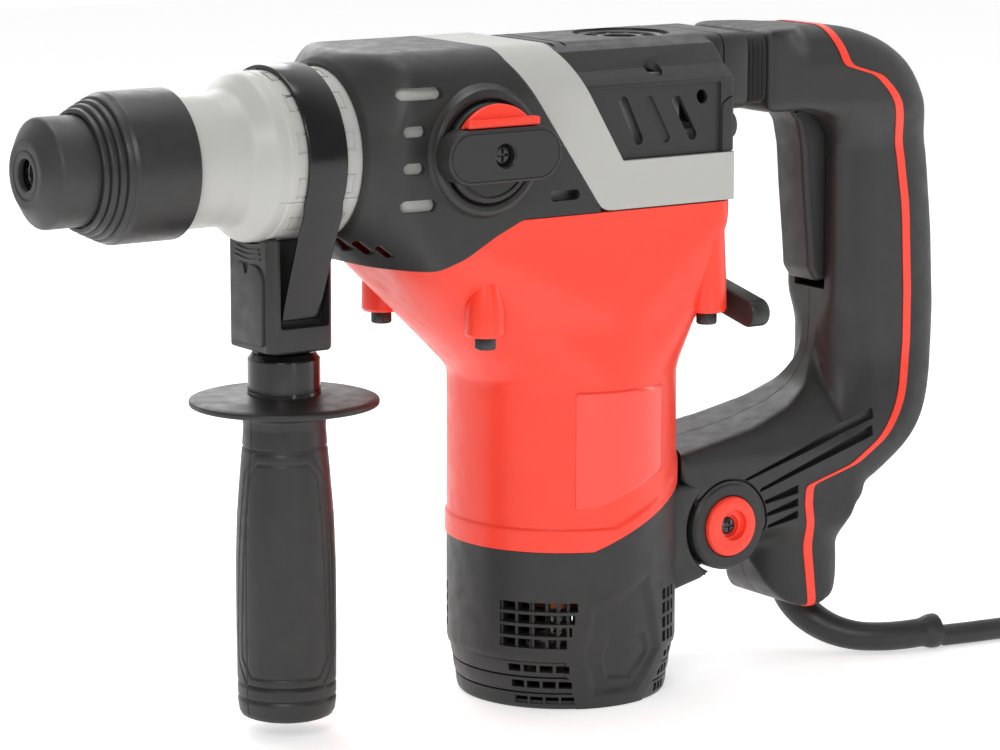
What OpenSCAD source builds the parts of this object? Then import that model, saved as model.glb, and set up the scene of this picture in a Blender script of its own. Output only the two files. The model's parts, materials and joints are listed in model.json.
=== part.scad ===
// Rotary hammer with a vertical motor, a D-handle on an anti-vibration pivot and a side handle.
// X runs along the spindle from the nose (-X) to the D-handle (+X), +Z is up, the selector side is -Y.
// The origin is on the spindle axis at the front end of the bit bore. Units: millimetres.

/* [Spindle and chuck] */
// Radius of the bit bore
bit_r = 5.05; // [5:0.05:5.1]
// Depth of the bit bore
bit_len = 68; // [60:1:68]
// Radius of the spindle nose
nose_r = 9.5; // [9:0.5:10]
// Radius of the dust cap
cap_r = 18.7; // [17:0.1:19]
// Radius of the locking sleeve
sleeve_r = 25.6; // [25:0.1:27]
// Outer radius of the spindle cylinder
cyl_ro = 14; // [14:0.1:14]
// Bore radius of the spindle cylinder
cyl_ri = 11; // [10.5:0.1:11]

/* [Front collar and side handle] */
// Radius of the collar that the side handle clamps on
collar_r = 29.3; // [28:0.1:29.5]
// Middle of the clamp strap along the spindle
strap_x = 94; // [92:0.5:96]
// Width of the clamp strap
strap_w = 15; // [12:0.5:16]
// Radius of the hand guard
guard_r = 33; // [30:0.5:36]
// Level of the lower end of the side grip
grip_z = -197; // [-200:1:-190]

/* [Housing] */
// Half width of the gear cover
half_w = 40; // [39:0.5:41]
// Height of the gear cover above the spindle axis
top_z = 35; // [34:0.5:36]
// Wall thickness of the covers
wall = 2.5; // [2:0.1:2.8]
// Gap left at the seams between covers
seam = 0.3; // [0.2:0.05:0.4]
// Motor axis along X
motor_x = 210.5; // [210.5:0.1:210.5]
// Outer radius of the motor barrel
motor_r = 41.5; // [41.3:0.1:41.8]
// Level that the motor end cap stands on
base_z = -203; // [-205:0.5:-201]

/* [Gears] */
// Spur gear module
spur_m = 1; // [1:0.1:1]
// Teeth on the armature pinion
pinion_teeth = 8; // [8:1:8]
// Teeth on the crank gear
crank_teeth = 36; // [36:1:36]
// Teeth on the countershaft gear
counter_teeth = 32; // [32:1:32]
// Teeth on the bevel pinion
bevel_pinion_teeth = 10; // [10:1:10]
// Teeth on the bevel gear
bevel_gear_teeth = 30; // [30:1:30]
// Pitch radius of the bevel gear
bevel_gear_r = 21; // [21:0.5:21]
// Crank throw
throw = 10; // [8:0.5:10]
// Connecting rod length between eye centres
rod_len = 35; // [35:0.5:35]

/* [Rear handle] */
// Handle pivot along X
pivot_x = 269; // [268:0.5:270]
// Handle pivot level
pivot_z = -147; // [-148:0.5:-146]
// Half width of the rear handle
handle_w = 24; // [22:0.5:25]
// Radius of the pivot boss
boss_r = 16.5; // [15:0.5:16.5]

/* [Selector] */
// Selector axis along X
dial_x = 150.5; // [149:0.5:152]
// Selector axis level
dial_z = 1; // [0:0.5:2]
// Radius of the selector bezel
bezel_r = 22; // [21:0.5:22]
// Length of the selector bar
bar_len = 46; // [44:0.5:46]
// Height of the selector bar
bar_h = 18.5; // [17:0.5:18.5]

/* [Power cord] */
// Cord diameter
cord_d = 8.2; // [8:0.1:8.4]
// Turns side by side in the coil
coil_cols = 3; // [3:1:3]
// Layers of turns in the coil
coil_rows = 3; // [3:1:3]
// Plug pin radius
pin_r = 2.4; // [2.4:0.05:2.4]

/* [Hidden] */
$fn = 64;
big = 400;
run = 0.05;          // radial running clearance
gap = 0.3;           // clearance between bodies that don't touch
black = [0.27, 0.27, 0.28];
red = [1, 0.30, 0.21];
pale = [0.75, 0.75, 0.73];
steel = [0.62, 0.63, 0.66];
copper = [0.72, 0.45, 0.2];

// Shared heights and places
deck_z = -23.5;                  // seam between the red housing and the covers
front_x = 108;                   // front lip of the gear cover
lever_y = -12;                   // axis of the rear lever
lever_z = -58;
rear_x = 258;                    // rear wall of the housing
gear_z = -45;                    // underside of the spur gears
gear_h = 8;                      // face width of the spur gears
pinion_r = spur_m * pinion_teeth / 2;
crank_x = motor_x + spur_m * (pinion_teeth + crank_teeth) / 2;
counter_x = motor_x - spur_m * (pinion_teeth + counter_teeth) / 2;
bevel_pinion_r = bevel_gear_r * bevel_pinion_teeth / bevel_gear_teeth;
cavity_r = motor_r - 3;          // inside of the motor barrel
wrist_x = crank_x - sqrt(rod_len * rod_len - throw * throw);
rod_swing = asin(throw / rod_len);
plate_z = [-64, -48];            // gearbox frame, from the bearing pad to the floor
seat_z = -54;                    // underside of the gearbox frame floor
screw_x = [158, 250];            // places of the housing screws
screw_y = 34;
cover_screw = [227, -36];        // place of a rear cover screw
grille_x = 236;                  // middle of the round vent grille
spring_z = 20;                   // level of the isolation spring
trigger_pin = [326, -14];        // hinge of the trigger, x and z
trigger_pin_half = 12.4;
cord_r = cord_d / 2;
coil_mid_r = 6 * cord_d;         // middle of the coil's turns
lead_y = -40;                    // line of the straight lead on the floor
coil_x = 524;
coil_y = lead_y + coil_mid_r + cord_d;
floor_z = base_z + cord_r;       // cord centre on the floor
coil_top = base_z + coil_rows * cord_d;
plug_z = coil_top + 13;

// Helpers
module tube_x(x0, x1, r) { translate([x0, 0, 0]) rotate([0, 90, 0]) cylinder(h = x1 - x0, r = r); }
module tube_z(x, z0, z1, r) { translate([x, 0, z0]) cylinder(h = z1 - z0, r = r); }
module tube_y(x, z, y0, y1, r) { translate([x, y1, z]) rotate([90, 0, 0]) cylinder(h = y1 - y0, r = r); }
module ring_z(x, z0, z1, r0, r1) { difference() { tube_z(x, z0, z1, r1); tube_z(x, z0 - 1, z1 + 1, r0); } }
module ring_x(x0, x1, r0, r1) { difference() { tube_x(x0, x1, r1); tube_x(x0 - 1, x1 + 1, r0); } }
// A profile of [x, radius] points turned about the spindle axis.
module lathe_x(p) { rotate([0, 90, 0]) rotate_extrude() polygon([for (q = p) [q[1], q[0]]]); }
// A profile in the XZ plane extruded over y0..y1.
module side_prism(y0, y1) { translate([0, y1, 0]) rotate([90, 0, 0]) linear_extrude(y1 - y0) children(); }
module box(a, b) { translate(a) cube(b - a); }
module both_sides() { children(); mirror([0, 1, 0]) children(); }

function unit(v) = v / norm(v);
function tangent(p, i) = unit(p[min(i + 1, len(p) - 1)] - p[max(i - 1, 0)]);
function radius_at(r, i) = is_list(r) ? r[i] : r;
function ring_points(c, t, ref, r, n) = let (u = unit(cross(t, ref)), w = cross(t, u))
    [for (k = [0 : n - 1]) c + r * (cos(360 * k / n) * u + sin(360 * k / n) * w)];
// A round tube along the points p, with n sides; ref is never parallel to the path.
module sweep(p, r, n, ref) {
    m = len(p);
    polyhedron(
        points = [for (i = [0 : m - 1]) each ring_points(p[i], tangent(p, i), ref, radius_at(r, i), n)],
        faces = concat(
            [[for (k = [0 : n - 1]) k]],
            [[for (k = [n - 1 : -1 : 0]) (m - 1) * n + k]],
            [for (i = [0 : m - 2]) for (k = [0 : n - 1])
                let (a = i * n + k, b = i * n + (k + 1) % n) each [[a, a + n, b + n], [a, b + n, b]]]));
}

// Gear teeth: straight-sided, thinner than half the pitch so that the mesh has backlash.
module spur_outline(teeth, m) {
    r = m * teeth / 2;
    pitch = 360 / teeth;
    union() {
        circle(r = r - 1.15 * m);
        for (i = [0 : teeth - 1])
            rotate(i * pitch)
                polygon([for (s = [-1, 1]) for (q = (s < 0) ? [[-1.6, 0.29], [0, 0.19], [0.75, 0.08]]
                        : [[0.75, 0.08], [0, 0.19], [-1.6, 0.29]])
                    (r + q[0] * m) * [cos(s * q[1] * 180 * m / r * 0.9), sin(s * q[1] * 180 * m / r * 0.9)]]);
    }
}
// Bevel teeth around +Z with the apex at the origin and the teeth at cone angle g from +Z.
module bevel_teeth(teeth, g, outer, inner) {
    half = 180 / teeth;
    rows = [[g - 5, 0.62], [g + 2.6, 0.30]];
    function at(d, f, q) = q * [sin(d) * cos(f), sin(d) * sin(f), cos(d)];
    for (i = [0 : teeth - 1])
        rotate(i * 2 * half)
            polyhedron(
                points = [for (q = [outer, inner]) for (w = rows) for (s = [-1, 1]) at(w[0], s * w[1] * half, q)],
                faces = [[0, 1, 3, 2], [4, 6, 7, 5], [0, 4, 5, 1], [2, 3, 7, 6], [0, 2, 6, 4], [1, 5, 7, 3]]);
}

// ---------- Housing ----------
// Cross-section of the covers: flat sides, large top corners and a slight drop to the near and far top edges.
module cover_section(inset) {
    w = half_w - inset;
    h = top_z - inset;
    r = 18;
    for (s = [-1, 1]) translate([s * (w - r), h - r]) circle(r = r);
    translate([-(w - r), 0]) square([2 * (w - r), h]);
    translate([-w, -60]) square([2 * w, 60 + h - r]);
}
module cover_solid(inset) {
    intersection() {
        translate([front_x, 0, 0]) rotate([90, 0, 90]) linear_extrude(262 - front_x) cover_section(inset);
        union() {
            box([122, -big, -big], [262, big, big]);
            lathe_x([[front_x, 0], [front_x, 32 - inset], [122.5, 47 - inset], [122.5, 0]]);
        }
    }
}
// Lower edge of the gear cover, from the front lip to the trim band.
cover_edge = [[104, -31], [109, -34], [117, -37.4], [130, -36.8], [147, -32.4], [158, -27], [165, deck_z]];
band_front = [[157, 60], [163, 31], [200, deck_z]];
band_rear = [[184, 60], [186, 33], [192.5, 22], [209.3, -6]];
module gear_cover_region() {
    polygon(concat([[90, 60]], band_front, [for (i = [len(cover_edge) - 1 : -1 : 0]) cover_edge[i]], [[90, -31]]));
}
module trim_region() {
    polygon(concat(band_front, [[rear_x, deck_z], [rear_x, -6]], [for (i = [3 : -1 : 0]) band_rear[i]]));
}
module rear_region() { polygon(concat(band_rear, [[262, -6], [262, 60]])); }

module motor_outer(inset) {
    r = motor_r - inset;
    hull() {
        for (y = [-1, 1]) tube_at(119 + 24 + inset, y * (half_w - 24 - inset), -31, deck_z, 24);
        box([rear_x - 12, -half_w + inset, -66], [rear_x - inset, half_w - inset, deck_z]);
        translate([154 + 26 + inset, 0, -66]) cylinder(h = 1, r = 26 + 6, $fn = 32);
    }
    hull() {
        box([200, -half_w + inset + 1, -67], [rear_x - inset, half_w - inset - 1, -65]);
        translate([154 + 26 + inset, 0, -67]) cylinder(h = 1, r = 32, $fn = 32);
        translate([motor_x, 0, -82]) cylinder(h = 1, r = r, $fn = 64);
    }
    tube_z(motor_x, -150, -81.5, r);
}
module tube_at(x, y, z0, z1, r) { translate([x, y, z0]) cylinder(h = z1 - z0, r = r, $fn = 32); }
// Region below the slanted seam between the red housing and the end cap.
seam_z = -145;
module cap_region(lift) {
    side_prism(-80, 80)
        polygon([[150, -260], [150, seam_z + lift], [197, seam_z + lift], [252, seam_z + 22 + lift],
            [300, seam_z + 22 + lift], [300, -260]]);
}

module motor_housing() {
    color(red) difference() {
        union() {
            difference() {
                motor_outer(0);
                motor_outer(wall);
                cap_region(0.2);
                side_prism(-80, 80) offset(delta = seam) gear_cover_region();
                box([90, -80, deck_z - seam], [300, 80, 60]);
            }
            for (x = screw_x, s = [-1, 1]) translate([x, s * screw_y, -64]) cylinder(h = 12, r = 4.6);
            translate([0, lever_y, lever_z]) ring_x(rear_x - 0.5, rear_x + 1.5, 5 + run, 12);
        }
        for (x = screw_x, s = [-1, 1]) translate([x, s * screw_y, -75]) {
            cylinder(h = 60, r = 2.6);
            cylinder(h = 11, r = 4);
        }
        translate([0, lever_y, lever_z]) tube_x(rear_x - 6, rear_x + 14, 5 + run);
        tube_z(motor_x, -80, -40, 30);
    }
}
module motor_end_cap() {
    color(black) difference() {
        union() {
            intersection() {
                tube_z(motor_x, base_z + 18, -100, motor_r + 0.2);
                cap_region(0);
            }
            for (i = [0 : 2]) tube_z(motor_x, base_z + 6 * i + 0.6, base_z + 6 * i + 5.4, motor_r - 3.4 + i);
            tube_z(motor_x, base_z, base_z + 18, motor_r - 4.6);
            bracket();
        }
        tube_z(motor_x, base_z + 3, -90, cavity_r - 4);
        tube_z(motor_x, base_z + 22, -90, cavity_r);
        // Rows of vents in the wall and slots between the ribs, at angles about the motor axis
        both_sides() {
            for (row = [0 : 3], col = [0 : 5]) vent(208 + 6.7 * col, -164.9 - 4.45 * row, 3.2, 3.3);
            for (row = [0 : 2], col = [0 : 3]) vent(211 + 8.4 * col + 1.4 * row, base_z + 15.3 - 6 * row, 4.7, 2.6);
            for (row = [0 : 3], col = [0 : 2]) vent(298.4 + 5.4 * col, -164.9 - 5.2 * row, 2.5, 3.9);
        }
        for (a = [-20, 20, 160, 200])
            translate([motor_x, 0, 0]) rotate(a) translate([30, 0, base_z - 1]) cylinder(h = 3, r = 3.4);
        for (a = [-20, 20, 160, 200])
            translate([motor_x, 0, 0]) rotate(a) translate([30, 0, base_z - 1]) cylinder(h = 8, r = 1.6);
    }
    color(black) difference() {
        union() {
            ring_z(motor_x, base_z + 2.9, base_z + 17, 9.5, 13);
            for (a = [45 : 90 : 315])
                translate([motor_x, 0, base_z + 2.9]) rotate(a) translate([12.5, -1.5, 0]) cube([24.5, 3, 6]);
        }
        tube_z(motor_x, base_z + 2, base_z + 20, 9.5);
    }
}
module vent(a, z, w, h) { translate([motor_x, 0, z]) rotate(a) translate([30, -w / 2, -h / 2]) cube([30, w, h]); }
// Bracket that carries the handle pivot: a block behind the end cap and a tongue with the pivot eye.
module bracket() {
    difference() {
        union() {
            box([236, -handle_w, -172], [262, handle_w, -129.5]);
            side_prism(-18, 18) hull() {
                translate([pivot_x, pivot_z]) circle(r = 12);
                translate([250, -160]) square([4, 24]);
            }
        }
        tube_z(motor_x, -200, -100, cavity_r + 1);
        tube_y(pivot_x, pivot_z, -60, 60, 5.05);
        both_sides() side_prism(18, 60) offset(delta = 1.5) handle_area();
        side_prism(-80, 80) polygon([[230, -180], [230, -172], [268, -163.5], [268, -180]]);
    }
}
module end_cap_screws() {
    color(steel) for (a = [-20, 20, 160, 200])
        translate([motor_x, 0, 0]) rotate(a) translate([30, 0, base_z]) {
            translate([0, 0, 0.4]) cylinder(h = 1.6, r = 3);
            translate([0, 0, 1.9]) cylinder(h = 4, r = 1.5);
        }
}
module slot_cut(x, z, len, h) {
    box([x - len / 2 + h / 2, -60, z - h / 2], [x + len / 2 - h / 2, -30, z + h / 2]);
    for (s = [-1, 1]) tube_y(x + s * (len - h) / 2, z, -60, -30, h / 2);
}
module gear_cover() {
    color(black) difference() {
        union() {
            difference() {
                cover_solid(0);
                cover_solid(wall);
                tube_x(100, 125, collar_r + 0.9);
            }
            tube_y(dial_x, dial_z, -43, -38, bezel_r);
        }
        tube_y(dial_x, dial_z, -50, -40.3, 18.4);
        tube_y(dial_x, dial_z, -60, -30, 4 + run);
        side_prism(-80, 80) difference() { translate([60, -120]) square([260, 200]); gear_cover_region(); }
        slot_cut(129, 22, 17, 3.6);
        slot_cut(127, 10.2, 9, 3.6);
        slot_cut(127, -2.4, 9, 3.6);
        slot_cut(128, -13.5, 13, 3.6);
        slot_cut(184.5, -16.5, 12, 3.6);
        mirror([0, 1, 0]) for (z = [22, 10, -2, -14]) slot_cut(128, z, 13, 3.6);
    }
}
module trim_band() {
    color(pale) intersection() {
        union() {
            difference() { cover_solid(0); cover_solid(wall); }
            box([rear_x - wall, -half_w, deck_z], [rear_x, half_w, -6]);
        }
        side_prism(-80, 80) offset(delta = -seam) trim_region();
    }
}
module rear_cover() {
    color(black) difference() {
        union() {
            intersection() {
                difference() { cover_solid(1); cover_solid(wall + 1); }
                side_prism(-80, 80) offset(delta = -seam) rear_region();
            }
            box([rear_x - 1.5, -half_w + 8, -5.5], [rear_x + 3.7, half_w - 8, top_z - 6]);
            box([rear_x + 3, -24, 6], [276, 24, 34]);
            both_sides() translate([0, 22, 1]) tube_x(rear_x - 1, 268, 5.5);
        }
        tube_z(grille_x, 20, 60, 16);
        both_sides() for (i = [0, 2]) slanted_slot(216 + 13 * i, 7);
        both_sides() translate([each cover_screw, 14]) cylinder(h = 40, r = 3);
        both_sides() translate([each cover_screw, 0]) cylinder(h = 20, r = 1.65);
        translate([0, 0, spring_z]) tube_x(266, 280, 8.6);
        translate([0, 0, spring_z]) tube_x(250, 280, 3);
    }
    // Round vent grille in the top
    color(black) {
        ring_z(grille_x, top_z - 4.5, top_z - 2, 13.5, 16.2);
        ring_z(grille_x, top_z - 4.5, top_z - 2, 6, 8);
        for (a = [0 : 45 : 315])
            translate([grille_x, 0, top_z - 4.5]) rotate(a) translate([7, -1, 0]) cube([7, 2, 2.5]);
    }
}
module slanted_slot(x, z) {
    translate([x, -60, z]) rotate([0, -24, 0]) translate([-1.7, 0, -8]) cube([3.4, 30, 16]);
}
module rear_cover_screws() {
    color(steel) both_sides() translate([each cover_screw, 8]) {
        cylinder(h = 6.5, r = 1.6);
        translate([0, 0, 6]) cylinder(h = 3, r = 2.8);
    }
}
// Aluminium gearbox casting: a floor with bearing seats, side walls and the front bulkhead.
module gearbox_frame() {
    color(pale) difference() {
        union() {
            translate([0, 0, seat_z]) linear_extrude(plate_z[1] - seat_z) frame_outline(0);
            box([168, -25, plate_z[0]], [254, 25, seat_z + 1]);
            translate([0, 0, plate_z[1] - 1]) linear_extrude(24 - plate_z[1]) difference() {
                frame_outline(0);
                frame_outline(2.7);
            }
            box([158, -33, -47], [173, 33, 23]);
        }
        for (x = screw_x, s = [-1, 1]) translate([x, s * screw_y, -66]) cylinder(h = 30, r = 5);
        tube_x(150, 180, 20);
        tube_x(172, 200, 24.5);
        tube_z(motor_x, -62, -40, 10.8);
        tube_z(motor_x, -70, -40, 6.5);
        tube_z(counter_x, -62, -40, 8);
        tube_z(crank_x, -62, -40, 10.5);
        box([238, -big, 2], [300, big, 60]);
    }
}
module frame_outline(inset) {
    translate([158 + inset, -33 + inset]) square([97 - 2 * inset, 66 - 2 * inset]);
}
module front_collar() {
    color(pale) lathe_x([[44, 20.4], [44, 22.2], [44.6, 22.6], [64, 22.6], [66, 23], [72, 24.8], [77, 27.2], [80, 28.9],
        [82, 28.9], [82.6, collar_r], [157.6, collar_r], [157.6, 20.6], [152, 20.6], [152, 25.5], [86, 25.5], [68, 19.2],
        [46, 19.2], [46, 20.4]]);
}
module housing_screws() {
    color(steel) for (x = screw_x, s = [-1, 1]) translate([x, s * screw_y, -68]) {
        difference() { cylinder(h = 3.8, r = 3.6); translate([0, 0, -1]) cylinder(h = 3, r = 1.8, $fn = 6); }
        translate([0, 0, 3.7]) cylinder(h = 20, r = 2.5);
    }
}

// ---------- Motor ----------
module stator_core() {
    color(steel) difference() {
        ring_z(motor_x, -145, -97, 26.6, cavity_r - 0.1);
        for (s = [-1, 1]) translate([motor_x, s * 39, -150]) cylinder(h = 60, r = 5);
    }
}
module field_coils() {
    color(copper) for (z = [-96.9, -153]) translate([motor_x, 0, z + 3.9])
        rotate_extrude() translate([31.5, 0]) union() {
            square([4, 7.8], center = true);
            for (s = [-1, 1]) translate([s * 2, 0]) circle(r = 2.4);
        }
}
module brush_holders() {
    color([0.75, 0.6, 0.25]) for (s = [-1, 1]) translate([motor_x, 0, 0]) scale([s, 1, 1]) difference() {
        box([16, -5, -169], [38, 5, -159]);
        box([14, -3.3, -167.3], [35, 3.3, -160.7]);
    }
}
module carbon_brushes() {
    color([0.2, 0.2, 0.2]) for (s = [-1, 1]) translate([motor_x, 0, 0]) scale([s, 1, 1])
        box([13.4, -3.1, -167.1], [24, 3.1, -160.9]);
}
module upper_bearing() { color(steel) ring_z(motor_x, -61.8, -54, 4 + run, 10.75); }
module lower_bearing() { color(steel) ring_z(motor_x, base_z + 9.5, base_z + 16.5, 4 + run, 9.5); }
module gear_bearings() {
    color(steel) {
        ring_z(counter_x, -61.8, -54, 5 + run, 7.95);
        ring_z(crank_x, -61.8, -54, 6 + run, 10.45);
    }
}
module front_spindle_bearing() { color(steel) ring_x(50, 61, cyl_ro + run, 19.2); }
module rear_spindle_bearing() { color(steel) ring_x(160, 171.5, cyl_ro + run, 20); }
module spindle_seal() { color([0.12, 0.12, 0.12]) ring_x(46.2, 49.8, cyl_ro + run, 19.2); }
module armature_shaft() {
    color(steel) {
        tube_z(motor_x, base_z + 9, gear_z - 0.5, 4);
        translate([motor_x, 0, gear_z - 1]) linear_extrude(gear_h + 2) spur_outline(pinion_teeth, spur_m);
    }
}
module armature_core() {
    color([0.45, 0.45, 0.48]) difference() {
        ring_z(motor_x, -147, -95, 4, 25.9);
        for (a = [0 : 30 : 330])
            translate([motor_x, 0, 0]) rotate(a) translate([23.5, -1, -150]) cube([4, 2, 60]);
    }
}
module commutator() {
    color(copper) difference() {
        ring_z(motor_x, -172, -156, 4, 13);
        for (a = [0 : 20 : 340])
            translate([motor_x, 0, 0]) rotate(a) translate([12.3, -0.3, -170]) cube([2, 0.6, 12]);
    }
}
module cooling_fan() {
    color([0.15, 0.15, 0.15]) {
        ring_z(motor_x, -88, -86, 4, 33);
        for (a = [0 : 30 : 330])
            translate([motor_x, 0, -86.1]) rotate(a) translate([9, 0, 0]) rotate(18) cube([22, 1.6, 7.6]);
        ring_z(motor_x, -87, -78.6, 4, 8);
    }
}

// ---------- Gearbox ----------
module crank_gear() {
    color(steel) difference() {
        translate([crank_x, 0, gear_z]) linear_extrude(gear_h) rotate(5) spur_outline(crank_teeth, spur_m);
        tube_z(crank_x, -60, -20, 6);
    }
}
// The crank pin is a short stub: the drive to the rod is opened here, see the joints.
module crank_shaft() {
    color(steel) {
        tube_z(crank_x, -61.5, -12, 6);
        tube_z(crank_x, -12.5, -5.5, 13.5);
        translate([crank_x, throw, -6]) cylinder(h = 1.5, r = 3.4);
    }
}
module countershaft() {
    color(steel) {
        tube_z(counter_x, -61.5, -22.5, 5);
        translate([counter_x, 0, gear_z]) linear_extrude(gear_h) rotate(180 / counter_teeth)
            spur_outline(counter_teeth, spur_m);
    }
}
bevel_g = atan2(bevel_pinion_r, bevel_gear_r);
bevel_l = norm([bevel_pinion_r, bevel_gear_r]);
module bevel_pinion() {
    color(steel) translate([counter_x, 0, 0]) rotate([180, 0, 0]) {
        bevel_teeth(bevel_pinion_teeth, bevel_g, bevel_l, bevel_l - 6);
        rotate_extrude() polygon([[0, 15.6], [3.9, 15.6], [5.5, 21.4], [5.5, 22.4], [0, 22.4]]);
    }
}
module bevel_gear() {
    color(steel) difference() {
        translate([counter_x, 0, 0]) rotate([0, -90, 0]) union() {
            rotate(180 / bevel_gear_teeth) bevel_teeth(bevel_gear_teeth, 90 - bevel_g, bevel_l, bevel_l - 6);
            rotate_extrude() polygon([[0, 7.7], [14.9, 6.4], [20.8, 8.9], [20.8, 12], [17, 16], [0, 16]]);
        }
        tube_x(150, 210, cyl_ro);
    }
}
module spindle() {
    color(steel) difference() {
        lathe_x([[0, 0], [0, nose_r - 0.6], [0.6, nose_r], [38, nose_r], [38.4, 12.6], [43.9, 12.6], [43.9, 18.6],
            [45.4, 18.6], [45.4, cyl_ro], [205, cyl_ro], [205, 0]]);
        tube_x(-1, bit_len + 0.5, bit_r);
        tube_x(bit_len, 80, 6.3);
        tube_x(79, 210, cyl_ri);
        for (s = [-1, 1]) translate([19, 0, s * 5.3]) mirror([0, 0, s < 0 ? 1 : 0]) cylinder(h = 10, r = 3.3);
    }
}
module locking_balls() { color(steel) for (s = [-1, 1]) translate([19, 0, s * 8.6]) sphere(r = 3.2); }
module dust_cap() {
    color([0.24, 0.24, 0.24]) lathe_x([[-4, 5.5], [-4, 11], [-3.4, 12.4], [0.2, 18.2], [1.2, cap_r], [15.5, cap_r],
        [15.5, 14.4], [13, nose_r], [0.1, nose_r], [0.1, 9], [-1, 7], [-2, 5.5]]);
}
module locking_sleeve() {
    color([0.2, 0.2, 0.2]) lathe_x([[11, 19.2], [11, 20.2], [12, 20.8], [14, 20.8], [14.4, 21.6], [15, 22], [17, 22],
        [17.6, 23.2], [18.4, 23.6], [20.4, 23.6], [21, 24.8], [22.4, 25.2], [26, sleeve_r], [47.8, sleeve_r],
        [48.4, sleeve_r - 0.6], [48.4, 23.2], [31.5, 23.2], [31.5, 10.2], [29.5, 10.2], [29.5, 17], [23.6, 17],
        [23.6, 12.1], [15.9, 12.1], [15.9, 19.2]]);
}
module sleeve_spring() {
    turns = 4;
    steps = 12;
    color(steel) sweep([for (i = [0 : turns * steps]) let (a = i * 360 / steps)
        [32.4 + 10.4 * i / (turns * steps), 17.4 * cos(a), 17.4 * sin(a)]], 0.8, 8, [1, 0, 0]);
}
module piston() {
    color(steel) difference() {
        tube_x(wrist_x - 9, wrist_x + 5, cyl_ri - run);
        translate([0, 0, -4.4]) box([wrist_x - 6.2, -9.4, 0], [wrist_x + 8, 9.4, 8.8]);
    }
    color(steel) tube_z(wrist_x, -6, 6, 2);
}
module connecting_rod() {
    color([0.7, 0.7, 0.72]) translate([wrist_x, 0, -4]) rotate(rod_swing) difference() {
        union() {
            cylinder(h = 8, r = 4);
            translate([rod_len, 0, 0]) cylinder(h = 8, r = 5.8);
            translate([0, -2.8, 0]) cube([rod_len, 5.6, 8]);
        }
        translate([0, 0, -1]) cylinder(h = 10, r = 2 + run);
        translate([rod_len, 0, -1]) cylinder(h = 10, r = 3.5);
    }
}
module striker() {
    color(steel) lathe_x([[140, 0], [140, 6], [141, 7], [150, 7], [150, cyl_ri - run], [165, cyl_ri - run], [165, 0]]);
}
module impact_bolt() {
    color(steel) lathe_x([[70, 0], [70, 5], [71, 6.2], [86, 6.2], [89, cyl_ri - run], [104, cyl_ri - run],
        [106, 8], [112, 8], [112, 0]]);
}

// ---------- Controls ----------
module selector_knob() {
    color(black) difference() {
        union() {
            tube_y(dial_x, dial_z, -44.4, -40.6, 18);
            tube_y(dial_x, dial_z, -41, -34, 4);
            side_prism(-53, -44) translate([dial_x, dial_z]) {
                square([bar_len - bar_h, bar_h], center = true);
                for (s = [-1, 1]) translate([s * (bar_len - bar_h) / 2, 0]) circle(r = bar_h / 2);
            }
        }
        tube_y(dial_x, dial_z, -60, -49, 4);
        tube_y(dial_x, dial_z, -60, -36, 1.6);
    }
}
module selector_screw() {
    color([0.2, 0.2, 0.2]) difference() {
        union() { tube_y(dial_x, dial_z, -50.8, -49, 3.6); tube_y(dial_x, dial_z, -49.5, -36, 1.55); }
        tube_y(dial_x, dial_z, -55, -50, 1.6);
    }
}
module selector_lock() {
    color(red) intersection() {
        union() {
            tube_y(dial_x, dial_z, -48.6, -46.7, 17.2);
            box([dial_x - 15, -51, dial_z + bar_h / 2 + 0.4], [dial_x + 15, -48, dial_z + bar_h / 2 + 3]);
        }
        box([100, -60, dial_z + bar_h / 2 + 0.4], [200, 0, 60]);
    }
}
module rear_lever() {
    color(black) translate([0, lever_y, lever_z]) {
        tube_x(rear_x - 2.6, rear_x + 3, 5);
        tube_x(rear_x + 2, rear_x + 6, 10);
        translate([rear_x + 2.5, 0, 0]) rotate([12, 0, 0]) rotate([90, 0, 90]) linear_extrude(8) {
            translate([-32, -5]) square([32, 10]);
            for (y = [-32, 0]) translate([y, 0]) circle(r = 5);
        }
    }
}

// ---------- Rear handle ----------
handle_outer = [[285, 34], [312, 34], [330, 32.8], [347, 27.2], [359, 18.5], [366.5, 4], [371, -16], [374, -45],
    [375.5, -75], [375, -98], [371, -117], [362, -131], [347, -143], [331, -151.5], [320.5, -154], [321.5, -166],
    [322, -176], [317.5, -182], [309, -184.3], [294, -182.5], [283, -175], [277, -164]];
handle_inner = [[248, -127.6], [246, -119], [284, -113], [304, -107.5], [316, -101], [323, -90], [324, -80],
    [324, -8], [318, 0], [306, 3.5], [285, 3.5]];
inlay_path = [[318, 60], [319, 30], [322, 19], [337, 14.5], [344, 7], [349, -10], [354, -45], [354.4, -88],
    [350, -108], [341, -117], [305.5, -135], [304, -146], [310, -180], [312, -200]];
// The arc of the pivot boss, from its lower right round its left side
boss_arc = [for (a = [-60 : -6 : -216]) [pivot_x + boss_r * cos(a), pivot_z + boss_r * sin(a)]];
module handle_area() { polygon(concat(handle_outer, boss_arc, handle_inner)); }
// The grip is narrower than the arms where the fingers close round it.
waist_w = 18;
module waist() {
    both_sides() side_prism(waist_w, 60)
        polygon([[310, -92], [340, -104], [390, -104], [390, -4], [340, -4], [310, -14]]);
}
module behind_inlay(shift) { translate([shift, 0]) polygon(concat(inlay_path, [[420, -200], [420, 60]])); }
module arm_cut() {
    tube_z(motor_x, -260, 0, motor_r + 2.2);
    // Room for the bracket tongue between the cheeks
    side_prism(-18.4, 18.4) union() {
        translate([pivot_x, pivot_z]) circle(r = 13);
        polygon([[240, -127], [pivot_x + 2, -127], [pivot_x + 11, -138], [pivot_x + 11, -156], [pivot_x, -166],
            [240, -180]]);
    }
}
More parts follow.
